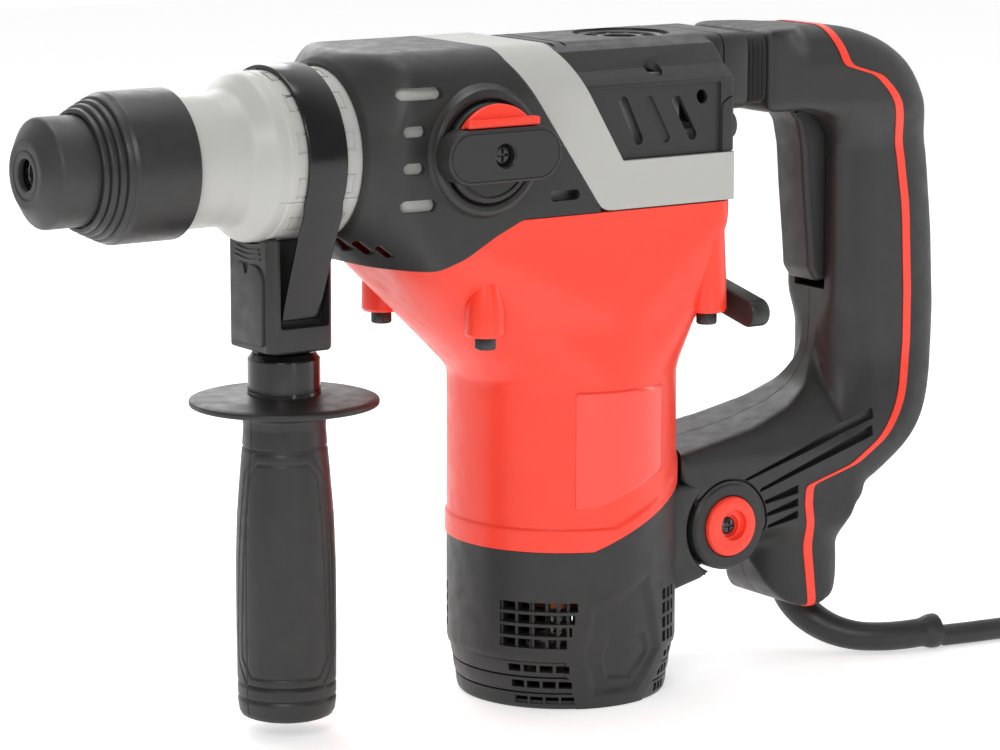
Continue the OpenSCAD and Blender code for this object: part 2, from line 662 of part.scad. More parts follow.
// Opening in the foot that the cable boot comes out of.
module boot_opening() {
    translate([311, -1, -190]) cylinder(h = 17, r = 8.2);
    box([307, -17, -190], [330, 7.2, -178]);
}
module handle_half() {
    difference() {
        side_prism(-handle_w, 0) difference() { handle_area(); behind_inlay(-1.1); }
        side_prism(-handle_w + 3, 0.5) difference() {
            offset(delta = -3) difference() { handle_area(); behind_inlay(-1.1); }
            translate([300, -110]) square([90, 112]);
        }
        difference() {
            side_prism(-waist_w + 3, 0.5) offset(delta = -3) difference() { handle_area(); behind_inlay(-1.1); }
            tube_y(trigger_pin[0], trigger_pin[1], -waist_w, -9.5, 5);
        }
        arm_cut();
        tube_y(pivot_x, pivot_z, -60, 60, 5);
        tube_y(pivot_x, pivot_z, -60, -handle_w + 2.5, 11.4);
        side_prism(-9, 9) polygon([[300, -66], [345, -66], [345, -4], [300, -4]]);
        tube_y(trigger_pin[0], trigger_pin[1], -trigger_pin_half - 0.1, 1, 2 + run);
        translate([0, 0, spring_z]) tube_x(280, 290, 8.6);
        boot_opening();
        waist();
        for (i = [0, 1]) side_prism(-40, -handle_w + 1.2)
            translate([286 + 4 * i, -129 - 5 * i]) rotate(18.5) square([52 - 4 * i, 2.4]);
    }
}
module handle_shell_left() { color(black) handle_half(); }
module handle_shell_right() { color(black) mirror([0, 1, 0]) handle_half(); }
module handle_overmould() {
    color([0.25, 0.25, 0.25]) difference() {
        side_prism(-handle_w, handle_w) intersection() {
            handle_area();
            behind_inlay(1.1);
        }
        boot_opening();
        waist();
    }
}
module handle_inlay() {
    color(red) difference() {
        side_prism(-handle_w - 0.2, handle_w + 0.2) intersection() {
            handle_area();
            difference() { behind_inlay(-1.1); behind_inlay(1.1); }
        }
        boot_opening();
        waist();
    }
}
module pivot_caps() {
    color(red) both_sides() difference() {
        tube_y(pivot_x, pivot_z, -handle_w - 2.2, -handle_w + 2.4, 11.2);
        tube_y(pivot_x, pivot_z, -60, -handle_w + 0.4, 4.4);
    }
}
module pivot_bolt() {
    color(steel) tube_y(pivot_x, pivot_z, -handle_w + 2.6, handle_w - 2.6, 5);
}
module handle_bellows() {
    color([0.12, 0.12, 0.12]) difference() {
        box([276.3, -22.6, 7], [284.7, 22.6, 32.8]);
        translate([0, 0, spring_z]) tube_x(270, 290, 9.5);
    }
}
module isolation_spring() {
    turns = 4;
    steps = 12;
    color(steel) translate([0, 0, spring_z]) sweep([for (i = [0 : turns * steps]) let (a = i * 360 / steps)
        [267.4 + 20 * i / (turns * steps), 6.6 * cos(a), 6.6 * sin(a)]], 1, 8, [1, 0, 0]);
}
module trigger() {
    color(black) side_prism(-8.5, 8.5) difference() {
        polygon([[323.6, -9.5], [313, -9.5], [314, -20], [316, -40], [317.5, -55], [321, -62.5], [332, -62.5],
            [334, -56], [334, -16], [330, -9.5]]);
        translate(trigger_pin) circle(r = 2 + run);
    }
}
module switch_module() {
    color([0.2, 0.2, 0.22]) {
        box([340.5, -8, -58], [344.8, 8, -18]);
        tube_y(trigger_pin[0], trigger_pin[1], -trigger_pin_half, trigger_pin_half, 2);
    }
}
// The boot leaves the foot downwards and lies over to the selector side along the floor.
boot_path = [[311, -1, -177.5], [312.5, -3, -184], [316, -8, -190], [321.5, -15.5, -194.5], [328.5, -23, -196.8],
    [337, -29, -197.2], [346, -32.8, -197], [355, -34.6, -196.6], [359.5, -35.2, -196.5]];
module cable_boot() {
    color([0.2, 0.2, 0.2]) sweep(boot_path, [6.6, 6.6, 6.3, 6, 5.8, 5.6, 5.5, 5.5, 6.4], 16, [0.5, 1, 0.2]);
}

// ---------- Side handle ----------
block_z = [-66.7, -30.6];
module clamp_block() {
    color(black) difference() {
        union() {
            box([80, -15, block_z[0]], [106, 15, block_z[1] + 4]);
            translate([strap_x, 0, block_z[0] - 17]) cylinder(h = 17.5, r = 5.9);
        }
        tube_x(70, 120, collar_r + gap);
        both_sides() box([84, -20, -58], [103.5, -9.4, 0]);
        box([79, -10, -62], [81.2, 10, -40]);
    }
}
module clamp_strap() {
    color([0.15, 0.15, 0.16]) {
        difference() {
            ring_x(strap_x - strap_w / 2, strap_x + strap_w / 2, collar_r + gap, collar_r + 1.8);
            box([60, -26, -60], [130, 26, -8]);
        }
        both_sides() side_leg();
    }
}
module side_leg() {
    translate([strap_x - strap_w / 2, 0, 0]) rotate([90, 0, 90]) linear_extrude(strap_w)
        polygon([[-26.4, -15.4], [-27.7, -16], [-14.4, -50], [-11.6, -55.5], [-10.2, -55.5], [-12.8, -50]]);
}
module side_grip() {
    color(black) translate([strap_x, 0, 0]) difference() {
        rotate_extrude() polygon([[0, grip_z], [16.6, grip_z], [17.5, grip_z + 1.2], [17.5, -142], [16.8, -125], [14.6, -100],
            [14, -90], [18, -88.6], [guard_r - 1, -86.8], [guard_r, -86], [guard_r, -85.2], [guard_r - 1, -84.6],
            [14, -83.4], [12.7, -81.5], [12.6, -69.4], [11.6, -68], [0, -68]]);
        translate([0, 0, -86]) cylinder(h = 30, r = 6);
    }
}

// ---------- Power cord ----------
lead_path = [[362, -35.5, floor_z], [374, -37.6, floor_z], [388, -39.3, floor_z], [404, lead_y, floor_z],
    [420, lead_y, floor_z], [436, lead_y, floor_z], [454, lead_y, floor_z], [coil_x, lead_y, floor_z]];
module cord_lead() { color([0.18, 0.18, 0.18]) sweep(lead_path, cord_r, 12, [0, 0, 1]); }
module cord_coil() {
    color([0.18, 0.18, 0.18]) translate([coil_x, coil_y, base_z])
        rotate_extrude() translate([coil_mid_r - coil_cols * cord_r, 0]) square([coil_cols * cord_d, coil_rows * cord_d]);
}
// The tail climbs off the top layer and runs round into the back of the plug.
tail_path = [for (i = [0 : 10]) let (s = i / 10, a = 78 * s - 118)
    [coil_x + coil_mid_r * cos(a), coil_y + coil_mid_r * sin(a),
        coil_top - cord_r + (plug_z - coil_top + cord_r) * (1 - cos(180 * s)) / 2]];
module cord_tail() { color([0.18, 0.18, 0.18]) sweep(concat(tail_path, [plug_back]), cord_r, 12, [0, 0, 1]); }
plug_back = [coil_x + coil_mid_r, coil_y - 22, plug_z];
module plug() {
    color([0.18, 0.18, 0.18]) translate([coil_x + coil_mid_r, coil_y, plug_z]) {
        translate([0, 22, 0]) rotate([90, 0, 0]) linear_extrude(34) union() {
            square([14, 25.8], center = true);
            for (s = [-1, 1]) translate([s * 5, 0]) circle(r = 12.9);
        }
        translate([0, -11.5, 0]) rotate([90, 0, 0]) cylinder(h = 10.5, r1 = 9, r2 = 5.6);
    }
    color([0.8, 0.8, 0.82]) for (s = [-1, 1])
        translate([coil_x + coil_mid_r + 9.5 * s, coil_y + 41, plug_z]) rotate([90, 0, 0]) cylinder(h = 19.1, r = pin_r);
}

motor_housing();
motor_end_cap();
end_cap_screws();
gear_cover();
trim_band();
rear_cover();
rear_cover_screws();
gearbox_frame();
front_collar();
housing_screws();
stator_core();
field_coils();
brush_holders();
carbon_brushes();
upper_bearing();
lower_bearing();
gear_bearings();
front_spindle_bearing();
rear_spindle_bearing();
spindle_seal();
armature_shaft();
armature_core();
commutator();
cooling_fan();
crank_gear();
crank_shaft();
countershaft();
bevel_pinion();
spindle();
bevel_gear();
dust_cap();
locking_balls();
locking_sleeve();
sleeve_spring();
piston();
connecting_rod();
striker();
impact_bolt();
selector_knob();
selector_screw();
selector_lock();
rear_lever();
handle_shell_left();
handle_shell_right();
handle_overmould();
handle_inlay();
pivot_caps();
pivot_bolt();
handle_bellows();
isolation_spring();
trigger();
switch_module();
cable_boot();
clamp_block();
clamp_strap();
side_grip();
cord_lead();
cord_coil();
cord_tail();
plug();
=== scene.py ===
import json
import math

import bmesh
import bpy
import numpy as np
from mathutils import Matrix, Vector


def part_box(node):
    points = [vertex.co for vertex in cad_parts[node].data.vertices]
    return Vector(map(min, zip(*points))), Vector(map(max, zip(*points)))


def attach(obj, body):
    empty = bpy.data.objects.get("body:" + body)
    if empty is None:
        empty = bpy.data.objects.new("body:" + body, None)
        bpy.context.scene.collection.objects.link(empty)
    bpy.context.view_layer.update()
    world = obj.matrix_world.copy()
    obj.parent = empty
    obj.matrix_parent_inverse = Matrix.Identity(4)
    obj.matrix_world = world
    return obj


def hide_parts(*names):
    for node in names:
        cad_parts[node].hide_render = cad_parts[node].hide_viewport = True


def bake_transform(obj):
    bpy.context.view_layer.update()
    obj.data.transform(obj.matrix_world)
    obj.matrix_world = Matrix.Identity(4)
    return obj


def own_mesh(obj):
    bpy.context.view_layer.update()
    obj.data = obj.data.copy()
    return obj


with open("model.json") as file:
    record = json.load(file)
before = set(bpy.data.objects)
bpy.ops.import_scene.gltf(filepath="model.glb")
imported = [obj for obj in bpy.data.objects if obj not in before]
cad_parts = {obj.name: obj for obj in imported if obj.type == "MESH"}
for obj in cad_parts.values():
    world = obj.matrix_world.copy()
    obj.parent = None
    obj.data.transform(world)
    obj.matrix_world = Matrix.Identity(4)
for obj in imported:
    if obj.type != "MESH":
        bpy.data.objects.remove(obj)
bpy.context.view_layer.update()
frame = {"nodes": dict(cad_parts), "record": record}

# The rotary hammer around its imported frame. Helpers take millimetres and make meshes in metres.
scene = bpy.context.scene
MM = 0.001
SEGMENTS = 128
EDGE_SOFT = 0.35                 # how far the shader rounds an edge


# ---------- Places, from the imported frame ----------
def low(node):
    return [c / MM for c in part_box(node)[0]]


def high(node):
    return [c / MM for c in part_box(node)[1]]


def middle(node):
    return [(a + b) / 2 for a, b in zip(low(node), high(node))]


MOTOR_X = middle("armature_core")[0]
MOTOR_R = 41.5
BASE_Z = low("motor_end_cap")[2]
FRONT_X = low("gear_cover")[0]
DECK_Z = -23.5
SEAM_Z = low("motor_housing")[2] - 0.2
STRAP_X = middle("clamp_strap")[0]
STRAP = (STRAP_X, 0)
MOTOR = (MOTOR_X, 0)
GRILLE_Z = -164.9                # the top row of openings in the end cap
RIB_Z = BASE_Z + 15.3            # the top row between its ribs
PIVOT_X, _, PIVOT_Z = middle("pivot_caps")
PIVOT = (PIVOT_X, PIVOT_Z)
DIAL_X, _, DIAL_Z = middle("selector_screw")
DIAL = (DIAL_X, DIAL_Z)
LEVER = (-12, -58)               # y and z of the rear lever's axis
SCREW_Y = 33.6                   # the housing screws, to each side
SCREW_X = (155, 250.5)
COVER_SCREW_Y = 33.4
VENT = (236, 0)                  # x and y of the round vent in the rear cover
TRIGGER_PIN = (326, -14)
SPRING = (0, 20)                 # y and z of the handle spring
FAR = 90                         # beyond every side of the tool
CORD_R = (high("cord_lead")[2] - low("cord_lead")[2]) / 2


# ---------- Mesh helpers ----------
def piece(verts, faces, smooth=30):
    """A closed mesh from points in millimetres, with welded points and outward faces."""
    mesh = bpy.data.meshes.new("piece")
    mesh.from_pydata([[c * MM for c in v] for v in verts], [], faces)
    obj = bpy.data.objects.new("piece", mesh)
    scene.collection.objects.link(obj)
    bm = bmesh.new()
    bm.from_mesh(mesh)
    bmesh.ops.remove_doubles(bm, verts=bm.verts, dist=1e-7)
    bmesh.ops.dissolve_degenerate(bm, edges=bm.edges, dist=1e-8)
    bmesh.ops.recalc_face_normals(bm, faces=bm.faces)
    bm.to_mesh(mesh)
    bm.free()
    return shade(obj, smooth)


def loft(rings, loop=False, smooth=30):
    """A closed mesh through rings of points: capped, or with its last ring joined to its first."""
    count, total = len(rings[0]), len(rings)
    faces = [] if loop else [list(range(count)), list(range((total - 1) * count, total * count))]
    for i in range(total if loop else total - 1):
        j = (i + 1) % total
        if rings[i][0] == rings[i][1] and rings[j][0] == rings[j][1]:
            continue
        for k in range(count):
            n = (k + 1) % count
            faces.append([i * count + k, i * count + n, j * count + n, j * count + k])
    return piece([p for ring in rings for p in ring], faces, smooth)


def shade(obj, angle=30):
    """Smooth shading, with the edges sharper than angle kept crisp."""
    mesh = obj.data
    mesh.polygons.foreach_set("use_smooth", [True] * len(mesh.polygons))
    mesh.set_sharp_from_angle(angle=math.radians(angle))
    return obj


def bake(obj, smooth=30):
    """Applies the object's modifiers to its mesh."""
    bpy.context.view_layer.update()
    seen = obj.evaluated_get(bpy.context.evaluated_depsgraph_get())
    mesh = bpy.data.meshes.new_from_object(seen)
    obj.modifiers.clear()
    obj.data = mesh
    return shade(obj, smooth)


def boolean(obj, kind, tools):
    for tool in tools:
        mod = obj.modifiers.new("boolean", "BOOLEAN")
        mod.operation = kind
        mod.object = tool
        mod.solver = "MANIFOLD"
    bake(obj)
    for tool in tools:
        bpy.data.objects.remove(tool)
    return obj


def cut(obj, *tools):
    return boolean(obj, "DIFFERENCE", tools)


def add(obj, *tools):
    return boolean(obj, "UNION", tools)


def keep(obj, *tools):
    return boolean(obj, "INTERSECT", tools)


def together(*parts):
    """Several meshes as one object, without welding them."""
    bm = bmesh.new()
    for part in parts:
        bm.from_mesh(part.data)
    mesh = bpy.data.meshes.new("group")
    bm.to_mesh(mesh)
    bm.free()
    obj = bpy.data.objects.new("group", mesh)
    scene.collection.objects.link(obj)
    for part in parts:
        bpy.data.objects.remove(part)
    return shade(obj)


MIRROR_Y = Matrix.Scale(-1, 4, Vector((0, 1, 0)))


def copy_of(obj):
    other = bpy.data.objects.new("copy", obj.data.copy())
    scene.collection.objects.link(other)
    return other


def moved(obj, matrix, flip=False):
    """The object with its mesh transformed; a mirror turns its faces over, so they are flipped back."""
    obj.data.transform(matrix)
    if flip:
        obj.data.flip_normals()
    return obj


AXES = {
    "x": lambda u, v, t: (t, u, v),
    "y": lambda u, v, t: (u, t, v),
    "z": lambda u, v, t: (u, v, t),
}


def fillet(outline, radius, steps=5):
    """The closed outline with rounded corners; a point may carry its own radius as a third number."""
    out = []
    count = len(outline)
    for i in range(count):
        p = Vector(outline[i][:2])
        a = Vector(outline[i - 1][:2]) - p
        b = Vector(outline[(i + 1) % count][:2]) - p
        r = outline[i][2] if len(outline[i]) > 2 else radius
        angle = a.angle(b, 0) if a.length and b.length else math.pi
        if r <= 0 or angle > math.pi - 0.02:
            out.append(tuple(p))
            continue
        reach = min(r / math.tan(angle / 2), a.length * 0.49, b.length * 0.49)
        start = p + a.normalized() * reach
        end = p + b.normalized() * reach
        for k in range(steps + 1):
            t = k / steps
            out.append(tuple(start * (1 - t) ** 2 + p * 2 * t * (1 - t) + end * t * t))
    return out


def offset(outline, distance):
    """The closed outline moved inwards along its corner normals."""
    count = len(outline)
    area = sum(outline[i - 1][0] * outline[i][1] - outline[i][0] * outline[i - 1][1] for i in range(count))
    turn = 1 if area > 0 else -1
    out = []
    for i in range(count):
        p = Vector(outline[i])
        a = (p - Vector(outline[i - 1])).normalized()
        b = (Vector(outline[(i + 1) % count]) - p).normalized()
        n = Vector((-a.y - b.y, a.x + b.x)) * turn
        if n.length < 1e-6:
            out.append(tuple(p))
            continue
        n.normalize()
        scale = 1 / max(0.5, n.dot(Vector((-a.y, a.x)) * turn))
        out.append(tuple(p + n * distance * scale))
    return out


def prism(outline, t0, t1, axis="y", edge=0.0, steps=3):
    """An outline extruded from t0 to t1, with rounded edges at both ends."""
    arcs = [(0, 0)]
    if edge:
        quarter = [math.pi / 2 * k / steps for k in range(steps + 1)]
        arcs = [(edge * (1 - math.sin(a)), edge * (1 - math.cos(a))) for a in quarter]
    rings = [(offset(outline, d) if d else outline, t0 + h) for d, h in arcs]
    rings += [(offset(outline, d) if d else outline, t1 - h) for d, h in reversed(arcs)]
    return loft([[AXES[axis](u, v, t) for u, v in ring] for ring, t in rings])


def through(outline):
    """The outline, in x and z, extruded right across the tool."""
    return prism(outline, -FAR, FAR)


def rectangle(u0, v0, u1, v1):
    return [(u0, v0), (u1, v0), (u1, v1), (u0, v1)]


def block(lo, hi):
    """A plain box to cut with, from corner to corner."""
    return prism(rectangle(lo[0], lo[2], hi[0], hi[2]), lo[1], hi[1])


def stadium(u, v, length, height, tilt=0.0, steps=12):
    """A slot outline: a bar with round ends, turned by tilt degrees."""
    r = height / 2
    out = []
    for side in (1, -1):
        for k in range(steps + 1):
            a = math.radians(-90 + 180 * k / steps) + (0 if side > 0 else math.pi)
            out.append((side * (length / 2 - r) + r * math.cos(a), r * math.sin(a)))
    c, s = math.cos(math.radians(tilt)), math.sin(math.radians(tilt))
    return [(u + x * c - y * s, v + x * s + y * c) for x, y in out]


def arc(centre, r, degrees):
    """Points round a centre, one for each of the angles."""
    return [(centre[0] + r * math.cos(math.radians(d)), centre[1] + r * math.sin(math.radians(d)))
            for d in degrees]


def circle(u, v, r, count=64):
    return arc((u, v), r, [360 * k / count for k in range(count)])


def lathe(profile, axis="x", centre=(0, 0), count=SEGMENTS):
    """A closed profile of (along, radius) points turned about an axis through centre."""
    rings = [[AXES[axis](u, v, t) for u, v in circle(*centre, r, count)] for t, r in profile]
    return loft(rings, True)


def pipe(t0, t1, r0, r1, *place):
    """A plain ring from t0 to t1 along the axis."""
    return lathe([(t0, r0), (t0, r1), (t1, r1), (t1, r0)], *place)


def rod(t0, t1, r, *place):
    """A plain round bar, to join on or to cut with."""
    return pipe(t0, t1, 0, r, *place)


def tube(points, radii, count=16, smooth=40):
    """A round tube along the points, closed at both ends."""
    points = [Vector(p) for p in points]
    radii = radii if isinstance(radii, list) else [radii] * len(points)
    turn = [2 * math.pi * k / count for k in range(count)]
    side = None
    rings = []
    for i, p in enumerate(points):
        t = (points[min(i + 1, len(points) - 1)] - points[max(i - 1, 0)]).normalized()
        if side is None:
            side = t.cross(Vector((0, 0, 1)) if abs(t.z) < 0.9 else Vector((0, 1, 0))).normalized()
        side = (side - t * side.dot(t)).normalized()
        up = t.cross(side)
        rings.append([p + radii[i] * (math.cos(a) * side + math.sin(a) * up) for a in turn])
    return loft(rings, smooth=smooth)


def ease(t):
    t = min(1.0, max(0.0, t))
    return t * t * (3 - 2 * t)


def segment_distance(p, a, b):
    """Distance from the grid of points p to the segment from a to b."""
    a, b = np.array(a, float), np.array(b, float)
    d = b - a
    t = np.clip(((p - a) @ d) / max(d @ d, 1e-9), 0, 1)
    return np.linalg.norm(p - a - t[..., None] * d, axis=-1)


def line_distance(p, line, closed=True):
    pairs = list(zip(line, line[1:] + line[:1])) if closed else list(zip(line, line[1:]))
    return np.min([segment_distance(p, a, b) for a, b in pairs], axis=0)


def inside(p, outline):
    """Which of the grid of points p lie inside a closed outline."""
    hit = np.zeros(p.shape[:-1], bool)
    for a, b in zip(outline, outline[1:] + outline[:1]):
        crosses = (a[1] > p[..., 1]) != (b[1] > p[..., 1])
        with np.errstate(divide="ignore", invalid="ignore"):
            at = (b[0] - a[0]) * (p[..., 1] - a[1]) / (b[1] - a[1] + 1e-12) + a[0]
        hit ^= crosses & (p[..., 0] < at)
    return hit


def smooth_step(x):
    x = np.clip(x, 0, 1)
    return x * x * (3 - 2 * x)


def groove(p, line, half, depth):
    """A rounded groove along a line, as a depth at each point of the grid."""
    return -depth * (1 - smooth_step(line_distance(p, line) / half))


def plateau(p, outline, height, slope):
    """A raised or sunk area with sloping sides, as a height at each point of the grid."""
    d = line_distance(p, outline) * np.where(inside(p, outline), 1, -1)
    return height * smooth_step(d / slope)


def barrel(angle, r, z, centre_x=MOTOR_X):
    """Rings of points about a vertical axis, from grids of angle, radius and height."""
    return np.stack([centre_x + r * np.cos(angle), r * np.sin(angle), z], -1).tolist()


def grid(rows, count):
    """Grids of angle and height: one row for each height and one column for each direction."""
    return np.meshgrid(np.arange(count) * 2 * np.pi / count, np.array(rows, float))


def rows_between(a, b, step):
    count = max(2, int(abs(b - a) / step) + 1)
    return list(np.linspace(a, b, count))


# ---------- Materials ----------
def put(node, values):
    """Sets constants on a node's own sockets."""
    for key, value in values.items():
        node.inputs[key].default_value = value


def surface(name, color, rough, grain=0.0, grain_size=0.35, metal=0.0, tint=0.05, marks=0.08, coat=0.0,
            brushed=False, sheen=0.0):
    """A moulded, cast, painted or machined finish: fine grain, uneven gloss, small colour changes."""
    mat = bpy.data.materials.new(name)
    mat.use_nodes = True
    nodes, links = mat.node_tree.nodes, mat.node_tree.links
    shader = nodes["Principled BSDF"]
    put(shader, {"Metallic": metal, "Coat Weight": coat, "Coat Roughness": 0.12, "Sheen Weight": sheen})
    where = nodes.new("ShaderNodeTexCoord")

    def noise(scale, detail=2.0, stretch=None):
        node = nodes.new("ShaderNodeTexNoise")
        put(node, {"Scale": scale, "Detail": detail})
        source = where.outputs["Object"]
        if stretch:
            mapping = nodes.new("ShaderNodeMapping")
            put(mapping, {"Scale": stretch})
            links.new(source, mapping.inputs["Vector"])
            source = mapping.outputs["Vector"]
        links.new(source, node.inputs["Vector"])
        return node.outputs["Fac"]

    # Colour: broad patches with faint specks in them
    mix = nodes.new("ShaderNodeMix")
    mix.data_type = "RGBA"
    dark = [c * (1 - tint) for c in color]
    light = [min(1, c * (1 + tint) + 0.002) for c in color]
    put(mix, {"A": (*dark, 1), "B": (*light, 1)})
    links.new(noise(45, 5), mix.inputs["Factor"])
    links.new(mix.outputs["Result"], shader.inputs["Base Color"])
    # Gloss: rubbed and duller patches
    stretch = (1, 1, 14) if brushed else None
    patchy = noise(160 if not brushed else 260, 6, stretch)
    gloss = nodes.new("ShaderNodeMapRange")
    put(gloss, {"From Min": 0.3, "From Max": 0.7, "To Min": max(0.03, rough - marks),
                "To Max": min(1, rough + marks)})
    links.new(patchy, gloss.inputs["Value"])
    links.new(gloss.outputs["Result"], shader.inputs["Roughness"])
    # Edges a little rounded, then the grain
    soft = nodes.new("ShaderNodeBevel")
    soft.samples = 4
    put(soft, {"Radius": EDGE_SOFT * MM})
    bump = nodes.new("ShaderNodeBump")
    put(bump, {"Strength": 1.0, "Distance": max(grain, 0.004) * MM})
    links.new(noise(1 / (grain_size * MM), 3, stretch), bump.inputs["Height"])
    links.new(soft.outputs["Normal"], bump.inputs["Normal"])
    links.new(bump.outputs["Normal"], shader.inputs["Normal"])
    return mat


FINISH = {name: surface(name, color, rough, **more) for name, color, rough, more in [
    ("red_plastic", (1.0, 0.05, 0.022), 0.38, dict(grain=0.012, tint=0.02, coat=0.06)),
    ("gloss_red", (1.0, 0.045, 0.02), 0.24, dict(grain=0.0, tint=0.01, marks=0.02, coat=0.5)),
    ("black_plastic", (0.018, 0.018, 0.0175), 0.46, dict(grain=0.03, tint=0.10)),
    ("gloss_black", (0.006, 0.006, 0.006), 0.16, dict(grain=0.012, tint=0.10)),
    ("soft_grip", (0.016, 0.016, 0.0155), 0.6, dict(grain=0.03, grain_size=0.5, tint=0.08, sheen=0.1)),
    ("pale_paint", (0.46, 0.46, 0.435), 0.42, dict(grain=0.02, grain_size=0.6, tint=0.03)),
    ("steel", (0.50, 0.51, 0.53), 0.3, dict(grain=0.006, metal=1.0, brushed=True)),
    ("dark_steel", (0.016, 0.016, 0.017), 0.22, dict(grain=0.006, coat=0.3)),
    ("sleeve_black", (0.02, 0.02, 0.0195), 0.42, dict(grain=0.015)),
    ("aluminium_cast", (0.42, 0.42, 0.42), 0.55, dict(grain=0.05, metal=0.85)),
    ("copper", (0.62, 0.17, 0.08), 0.35, dict(grain=0.03, metal=0.8, brushed=True)),
    ("brass", (0.62, 0.44, 0.16), 0.35, dict(grain=0.01, metal=1.0, brushed=True)),
    ("carbon", (0.03, 0.03, 0.03), 0.6, dict(grain=0.03)),
    ("cord_rubber", (0.02, 0.02, 0.0195), 0.45, dict(grain=0.015, tint=0.08)),
    ("cap_rubber", (0.03, 0.03, 0.0295), 0.5, dict(grain=0.02, tint=0.1)),
]}


def finish(obj, name, body, slot, *nodes, material=None):
    """Names a finished piece, gives it its material and rides it on its body."""
    obj.name = name
    obj.data.materials.clear()
    obj.data.materials.append(FINISH[material or slot])
    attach(obj, body)
    if nodes:
        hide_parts(*nodes)
    return obj


# ---------- Camera, floor and light ----------
def camera_and_stage():
    data = bpy.data.cameras.new("camera")
    data.lens, data.sensor_width = 144, 36
    cam = bpy.data.objects.new("camera", data)
    cam.location = (-0.60278, -1.16613, 0.16992)
    cam.rotation_euler = (math.radians(79.7), 0, math.radians(-34))
    scene.collection.objects.link(cam)
    scene.camera = cam

    world = bpy.data.worlds.new("studio")
    world.use_nodes = True
    # White behind the object and dimmer on the camera's side, so that the dark plastics stay dark
    nodes, links = world.node_tree.nodes, world.node_tree.links
    put(nodes["Background"], {"Color": (1, 1, 1, 1)})
    where = nodes.new("ShaderNodeTexCoord")
    facing = nodes.new("ShaderNodeVectorMath")
    facing.operation = "DOT_PRODUCT"
    facing.inputs[1].default_value = (0.559, 0.829, 0.0)
    ramp = nodes.new("ShaderNodeMapRange")
    put(ramp, {"From Min": -0.1, "From Max": 0.7, "To Min": 0.26, "To Max": 1.02})
    links.new(where.outputs["Generated"], facing.inputs[0])
    links.new(facing.outputs["Value"], ramp.inputs["Value"])
    links.new(ramp.outputs["Result"], nodes["Background"].inputs["Strength"])
    scene.world = world
    scene.view_settings.view_transform = "Standard"

    # Floor
    half = 2.6
    mesh = bpy.data.meshes.new("floor")
    z = BASE_Z * MM - 0.0002
    mesh.from_pydata([(-half, -half, z), (half, -half, z), (half, half, z), (-half, half, z)], [],
                     [(0, 1, 2, 3)])
    floor = bpy.data.objects.new("floor", mesh)
    scene.collection.objects.link(floor)
    floor.data.materials.append(glowing("floor_paper", (0.9, 0.9, 0.9), 0.48))

    target = Vector((0.19, 0, -0.06))
    for name, place, width, height, power in [
        ("key", (-0.75, -1.0, 0.75), 0.5, 0.5, 7.6),
        ("side_strip", (1.5, -0.62, 0.25), 0.2, 1.2, 3.0),
        ("front_strip", (0.1, -1.7, 0.3), 0.12, 1.2, 2.6),
        ("top", (0.15, 0.25, 1.25), 0.8, 0.8, 7.5),
        ("back", (0.5, 1.3, 0.6), 0.8, 0.8, 5.0),
    ]:
        light = bpy.data.lights.new(name, "AREA")
        light.shape, light.size, light.size_y, light.energy = "RECTANGLE", width, height, power
        obj = bpy.data.objects.new(name, light)
        obj.location = place
        obj.rotation_euler = (target - Vector(place)).to_track_quat("-Z", "Y").to_euler()
        scene.collection.objects.link(obj)


def glowing(name, color, strength):
    """Paper that is lit from behind a little, so that it stays white."""
    mat = surface(name, color, 0.9, tint=0.005)
    shader = mat.node_tree.nodes["Principled BSDF"]
    put(shader, {"Emission Color": (1, 1, 1, 1), "Emission Strength": strength})
    return mat


# ---------- Power cord ----------
FLOOR_LINE = BASE_Z + CORD_R
COIL_MID = 12 * CORD_R
COIL_X, COIL_Y, _ = middle("cord_coil")
LEAD_PATH = [(363, -35.7), (374, -37.6), (388, -39.3), (404, -40), (420, -40), (436, -40), (454, -40),
             (478, -40), (502, -40)]


def cord():
    """The lead from the boot, nine turns in three layers, and the tail into the plug."""
    exit_point = (357.5, -35.0, -197.3)
    path = [exit_point] + [(x, y, FLOOR_LINE) for x, y in LEAD_PATH]
    columns = [1, 0, -1, -1, 0, 1, 1, 0, -1]
    layers = [0, 0, 0, 1, 1, 1, 2, 2, 2]
    per_turn = 40
    shift = 0.16
    last_turn = 1 - 28 / 360
    for turn in range(9):
        ahead = min(turn + 1, 8)
        for k in range(per_turn):
            t = k / per_turn
            if turn == 8 and t > last_turn:
                break
            move = ease((t - 1 + shift) / shift)
            column = columns[turn] + (columns[ahead] - columns[turn]) * move
            layer = layers[turn] + (layers[ahead] - layers[turn]) * move
            a = math.radians(360 * t - 90)
            r = COIL_MID + 2 * CORD_R * column
            rise = 2 * CORD_R * layer
            path.append((COIL_X + r * math.cos(a), COIL_Y + r * math.sin(a), FLOOR_LINE + rise))
    top = FLOOR_LINE + 4 * CORD_R
    plug_z = (low("plug")[2] + high("plug")[2]) / 2
    for k in range(1, 11):
        s = k / 10
        a = math.radians(78 * s - 118)
        r = COIL_MID - 2 * CORD_R * (1 - ease(s))
        rise = (1 - math.cos(math.pi * s)) / 2
        path.append((COIL_X + r * math.cos(a), COIL_Y + r * math.sin(a), top + (plug_z - top) * rise))
    path.append((COIL_X + COIL_MID, COIL_Y - 23, plug_z))
    path.append((COIL_X + COIL_MID, COIL_Y - 18, plug_z))
    length = sum((Vector(b) - Vector(a)).length for a, b in zip(path, path[1:])) * MM
    obj = tube(path, CORD_R * 0.985, count=14, smooth=60)
    obj.name = "power_cord"
    obj.data.materials.append(FINISH["cord_rubber"])
    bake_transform(obj)
    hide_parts("cord_lead", "cord_coil", "cord_tail")
    [tuple(c * MM for c in p) for p in path]


